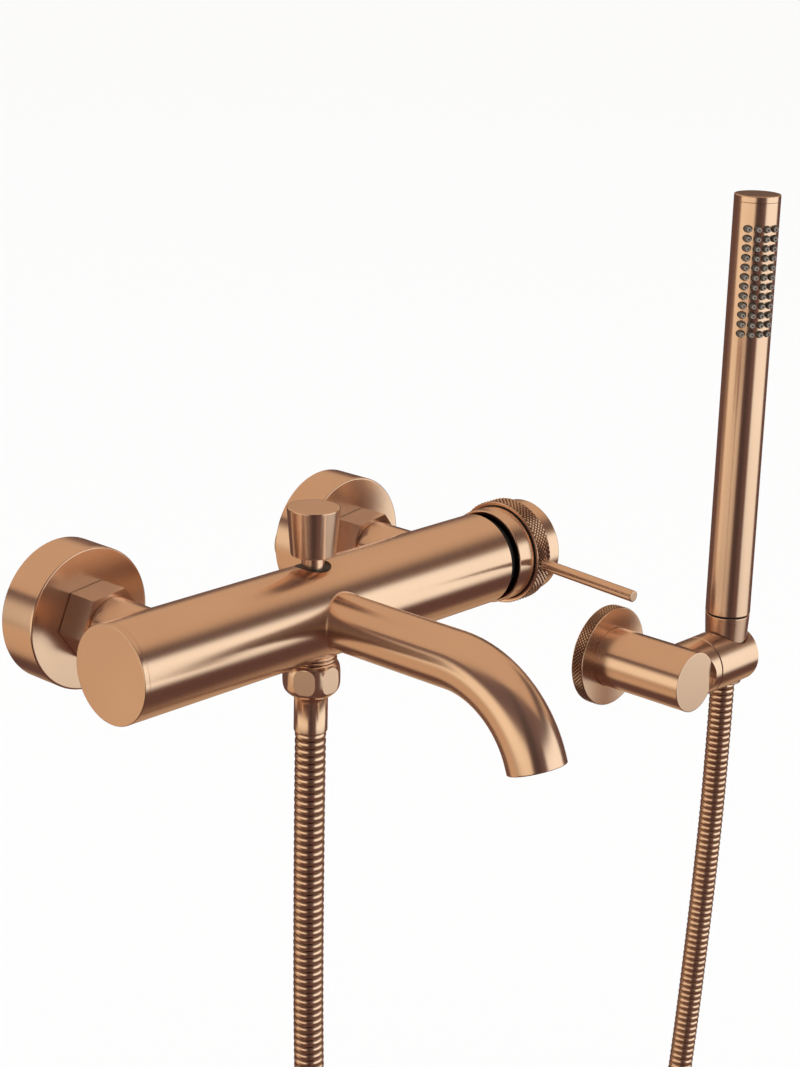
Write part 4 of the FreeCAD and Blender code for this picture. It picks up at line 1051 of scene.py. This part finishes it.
# Painted shade in the grooves between the thread's turns.
copper_thread = knurled_metal("copper_thread", outlet_line, z_axis, thread_radius, thread_depth)
thread_rings = ribbed_skin_tree("thread_rings", (
    (0.0, 1.0), (0.30, 0.12), (0.40, 0.0), (0.60, 0.0), (0.70, 0.12)))
thread_ends = [outlet_line + z_axis * (thread_low + turns * thread_pitch) for turns in (0, thread_turns)]
fasten(grown("outlet_thread", thread_rings, {
    "First rib": 0, "Ribs": thread_turns, "Ribs on path": thread_turns, "Radius": thread_radius,
    "Groove depth": thread_depth, "Sides": thread_sides, "Closed ends": True, "Metal": copper_thread},
    path_mesh("thread_path", thread_ends)), "mixer", ["hose_outlet_nipple"])
nut_profile = (
    (0.0, 3.4), (0.3, 2.9), (0.9, 2.2), (1.5, 1.55), (2.2, 1.0), (3.0, 0.58), (3.8, 0.3), (5.6, 0.03),
    (7.5, 0.0), (10.5, 0.05), (11.5, 0.18), (12.5, 0.42), (13.2, 0.7), (13.8, 1.1), (14.3, 1.5), (14.7, 2.0))
nut_flats = 22.2 * mm
flat_steps, round_steps = 14, 8
rings_between = 3
least_half_flat = 0.004


def barrel_nut(name, low, radius, material):
    """A nut with a softly swelling outline, nut_profile's heights and insets in millimetres, cut by six
    flats, so that each flat is an oval face. The points of each ring keep to the flats' own edges, which stay
    sharp."""
    vertices, faces, levels = [], [], []
    side_steps = flat_steps + round_steps
    segments = 6 * side_steps
    for (rise, inset), (next_rise, next_inset) in zip(nut_profile, nut_profile[1:]):
        for step in range(rings_between):
            share = step / rings_between
            levels.append((rise + (next_rise - rise) * share, inset + (next_inset - inset) * share))
    levels.append(nut_profile[-1])
    for rise, inset in levels:
        outline = radius - inset * mm
        half_flat = max(math.acos(min(1.0, nut_flats / 2 / outline)), least_half_flat)
        for side in range(6):
            flat_middle = math.radians(60 * side + 30)
            for step in range(side_steps):
                if step < flat_steps:
                    angle = -half_flat + 2 * half_flat * step / flat_steps
                    reach = min(outline, nut_flats / 2 / math.cos(angle))
                else:
                    angle = half_flat + (math.pi / 3 - 2 * half_flat) * (step - flat_steps) / round_steps
                    reach = outline
                angle += flat_middle
                outward = Vector((math.cos(angle), math.sin(angle), 0))
                vertices.append(outlet_line + outward * reach + z_axis * (low + rise * mm))
    rows = len(levels) - 1
    for row in range(rows):
        one, two = row * segments, (row + 1) * segments
        for step in range(segments):
            after = (step + 1) % segments
            faces.append((one + step, one + after, two + after, two + step))
    faces.append(tuple(range(segments)))
    faces.append(tuple(range(rows * segments, (rows + 1) * segments)))
    piece = new_piece(name, vertices, faces, material, "mixer", ["hose_nut"])
    for edge in piece.data.edges:
        one, two = edge.vertices
        on_flat_edge = one % segments == two % segments and one % segments % side_steps in (0, flat_steps)
        if on_flat_edge or {one // segments, two // segments} in ({0}, {rows}):
            edge.use_edge_sharp = True


barrel_nut("outlet_nut", nut_low, width("hose_nut", 0) / 2, copper_outlet)
ferrule_low, ferrule_high = extent("hose_ferrule_lower", 2)[0], nut_low + 1 * mm
ferrule_radius, ferrule_edge = 7.0 * mm, 0.35 * mm
turned("lower_ferrule", outlet_line, z_axis, drum(ferrule_low, ferrule_high, ferrule_radius, 0, ferrule_edge),
       copper_outlet, "mixer", ["hose_ferrule_lower"], segments=96)
finish_kept(black_rubber, "hose_washer")


# Wall bracket: a steel plate screwed to the wall, over which a rosette with a knurled edge is clipped. A
# short arm carries the collar, in which the holder turns on a steel pivot with a friction washer.
rosette_front, rosette_back = extent("bracket_rosette", 1)
rosette_radius = width("bracket_rosette", 0) / 2
rosette_rim_radius = rosette_radius - 0.35 * mm
rosette_inside = rosette_radius - 3 * mm
rosette_rim, rosette_wall = 0.45 * mm, 2 * mm
rosette_back_edge, rosette_front_edge, rosette_hole_edge = 0.1 * mm, 0.3 * mm, 0.2 * mm
under_knurl = rosette_radius - knurl_depth - 0.1 * mm
arm_radius = width("bracket_arm", 0) / 2
arm_back, arm_front = -4.5 * mm, extent("bracket_arm", 1)[0]
arm_edge = 0.3 * mm
arm_line = Vector((middle("bracket_plate").x, 0, middle("bracket_plate").z))
arm_hole = arm_radius + 0.15 * mm
copper_arm = brushed_metal("copper_arm", arm_line, y_axis)
turned("rosette", arm_line, y_axis, [
    (rosette_back, rosette_inside, 0), (rosette_back, rosette_rim_radius, rosette_back_edge),
    (rosette_back - rosette_rim, rosette_rim_radius, 0), (rosette_back - rosette_rim, under_knurl, 0),
    (rosette_front + rosette_rim, under_knurl, 0), (rosette_front + rosette_rim, rosette_rim_radius, 0),
    (rosette_front, rosette_rim_radius, rosette_front_edge), (rosette_front, arm_hole, rosette_hole_edge),
    (rosette_front + rosette_wall, arm_hole, 0), (rosette_front + rosette_wall, rosette_inside, 0)],
    copper_arm, "mixer", ["bracket_rosette"], segments=192, closed=True)
# Painted shade in the grooves of the rosette's knurling.
copper_rosette_knurl = knurled_metal("copper_rosette_knurl", arm_line, y_axis, rosette_radius, knurl_depth,
                                     unshaded_share=0.15)
turn_to_y = Vector((math.radians(-90), 0, 0))
fasten(knurl("rosette_knurl", arm_line, turn_to_y, rosette_radius, rosette_front + rosette_rim,
             rosette_back - rosette_rim, copper_rosette_knurl), "mixer")
turned("arm", arm_line, y_axis, [
    (arm_back, arm_radius, 0), (arm_front, arm_radius, arm_edge), (arm_front, 0, 0)],
    copper_arm, "mixer", ["bracket_arm"], segments=192)
holder_line = Vector((0, middle("handset_holder").y, middle("handset_holder").z))
copper_holder = brushed_metal("copper_holder", holder_line, x_axis)
smooth_copy("holder_collar", "mixer", copper_holder, about=(holder_line, x_axis))
smooth_copy("handset_holder", "holder", copper_holder, about=(holder_line, x_axis))
finish_kept(zinc_steel, "bracket_plate", "arm_grub_screw", "holder_pivot")
finish_kept(black_ring, "friction_washer")


# Hand shower: a slim plated tube, closed by a cap, that stands in the holder on its cone nut. Four columns of
# grey silicone nozzles come through holes in its front, fed by a plastic waterway inside.
handset_radius = width("handset_cap", 0) / 2
copper_handset = brushed_metal("copper_handset", handset_line, z_axis)
cone_low, cone_high = extent("cone_nut", 2)
cone_bottom_radius, cone_top_radius = 9.5 * mm, width("cone_nut", 0) / 2
cone_bottom_bore, cone_top_bore = 7.2 * mm, 10.4 * mm
cone_edge = 0.4 * mm
turned("cone", handset_line, z_axis, [
    (cone_low, cone_bottom_bore, 0), (cone_low, cone_bottom_radius, cone_edge),
    (cone_high, cone_top_radius, cone_edge), (cone_high, cone_top_bore, 0)],
    copper_handset, "handset", ["cone_nut"])
smooth_copy("handset_body", "handset", copper_handset, about=(handset_line, z_axis))
top_cap_low, top_cap_high = extent("handset_body", 2)[1] + 0.1 * mm, extent("handset_cap", 2)[1]
top_cap_bore = 9 * mm
top_cap_seam_edge, top_cap_edge = 0.15 * mm, 0.5 * mm
turned("top_cap", handset_line, z_axis, [
    (top_cap_low, top_cap_bore, 0), (top_cap_low, handset_radius, top_cap_seam_edge),
    (top_cap_high, handset_radius, top_cap_edge), (top_cap_high, 0, 0)],
    copper_handset, "handset", ["handset_cap"])
finish_kept(copper_handset, "hose_ferrule_upper")
finish_kept(black_rubber, "handset_washer")
# Painted shade: the brass inlet shows only in the shaded groove under the handset, so it is given the
# near-black colour.
finish_kept(seam_and_shade_black, "handset_inlet")
finish_kept(white_plastic, "handset_waterway")
spray_azimuth = math.radians(-38.4)
spray_way = Vector((math.sin(spray_azimuth), -math.cos(spray_azimuth), 0))
spray_across = Vector((math.cos(spray_azimuth), math.sin(spray_azimuth), 0))
nozzle_rows, nozzle_columns = 12, 4
nozzle_row_pitch, nozzle_column_pitch = 4.85 * mm, 4.65 * mm
nozzle_top_row = body_centre.z + 118.5 * mm
nozzle_root, nozzle_foot, nozzle_proud = -2.6 * mm, 0.6 * mm, 3.0 * mm
nozzle_base, nozzle_tip, nozzle_bore = 1.72 * mm, 1.15 * mm, 0.42 * mm
nozzle_hole_floor = nozzle_proud - 0.5 * mm
nozzle_profile = [
    (nozzle_root, 0, 0), (nozzle_root, nozzle_base, 0), (nozzle_foot, nozzle_base, 0),
    (nozzle_proud - 0.35 * mm, nozzle_tip + 0.08 * mm, 0),
    (nozzle_proud - 0.1 * mm, nozzle_tip - 0.05 * mm, 0), (nozzle_proud, nozzle_tip - 0.28 * mm, 0),
    (nozzle_proud, nozzle_bore, 0), (nozzle_hole_floor, nozzle_bore, 0), (nozzle_hole_floor, 0, 0)]
nozzle_sides = 20
nozzle_band_kinds = (0, 0, 0, 1, 1, 1, 2, 2)


def spray_field_tree():
    """Nozzles in rows and columns on the front of a round tube. A nozzle's "kind" tells its cone, 0, from its
    tip, 1, and its hole, 2."""
    tree, given = new_tree(
        "spray_field", Object=["Nozzle"], Int=["Rows", "Columns"],
        Float=["Row pitch", "Column pitch", "Tube radius"], Vector=["Middle", "Across", "Spray way"],
        Material=["Cone", "Tip", "Hole"])

    def spread(count, pitch):
        """How far a row or column of nozzles reaches."""
        return math_node(tree, "MULTIPLY", math_node(tree, "SUBTRACT", count, 1), pitch)

    grid = made(tree, "GeometryNodeMeshGrid", {
        "Size X": spread(given["Columns"], given["Column pitch"]), "Vertices X": given["Columns"],
        "Size Y": spread(given["Rows"], given["Row pitch"]), "Vertices Y": given["Rows"]})
    flat = own_place(tree)
    surface = round_height(tree, given["Tube radius"], flat["X"])
    height = made(tree, "ShaderNodeCombineXYZ", {"Z": flat["Y"]})
    outward = vector_node(tree, "ADD", scaled(tree, given["Across"], flat["X"]),
                          scaled(tree, given["Spray way"], surface))
    place = vector_node(tree, "ADD", vector_node(tree, "ADD", given["Middle"], height), outward)
    shape = added_node(tree, "GeometryNodeObjectInfo", {"Object": given["Nozzle"]})
    field = made(tree, "GeometryNodeInstanceOnPoints", {
        "Points": moved(tree, grid, place), "Instance": shape.outputs["Geometry"]})
    covered = made(tree, "GeometryNodeRealizeInstances", {"Geometry": field})
    kind = kept_value(tree, "kind", "INT")
    for number, name in enumerate(("Cone", "Tip", "Hole")):
        same = added_node(tree, "FunctionNodeCompare", data_type="INT", operation="EQUAL")
        feed(tree, same.inputs[2], kind)
        feed(tree, same.inputs[3], number)
        covered = made(tree, "GeometryNodeSetMaterial", {
            "Geometry": covered, "Selection": same.outputs["Result"], "Material": given[name]})
    added_node(tree, "NodeGroupOutput", {"Geometry": covered})
    return tree


grey_silicone = moulded("grey_silicone", (0.105, 0.086, 0.068), 0.40, 700, 0.12, grain_depth=0.02 * mm)
nozzle = turned("nozzle_shape", Vector((0, 0, 0)), spray_way, nozzle_profile, grey_silicone, None,
                segments=nozzle_sides)
nozzle_face_kinds = [kind for kind in nozzle_band_kinds for _ in range(nozzle_sides)]
nozzle.data.attributes.new("kind", "INT", "FACE").data.foreach_set("value", nozzle_face_kinds)
field_middle = handset_line + z_axis * (nozzle_top_row - (nozzle_rows - 1) / 2 * nozzle_row_pitch)
# Painted shade: the nozzles' holes get the near-black colour.
fasten(grown("nozzles", spray_field_tree(), {
    "Nozzle": nozzle, "Rows": nozzle_rows, "Columns": nozzle_columns, "Row pitch": nozzle_row_pitch,
    "Column pitch": nozzle_column_pitch, "Tube radius": handset_radius, "Middle": field_middle,
    "Across": spray_across, "Spray way": spray_way, "Cone": grey_silicone, "Tip": grey_plastic,
    "Hole": seam_and_shade_black}), "handset", ["spray_nozzles"])
bpy.data.objects.remove(nozzle)


# Sizes: the box of the dressed object. The box of the solids was taken at the start.
low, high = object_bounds()
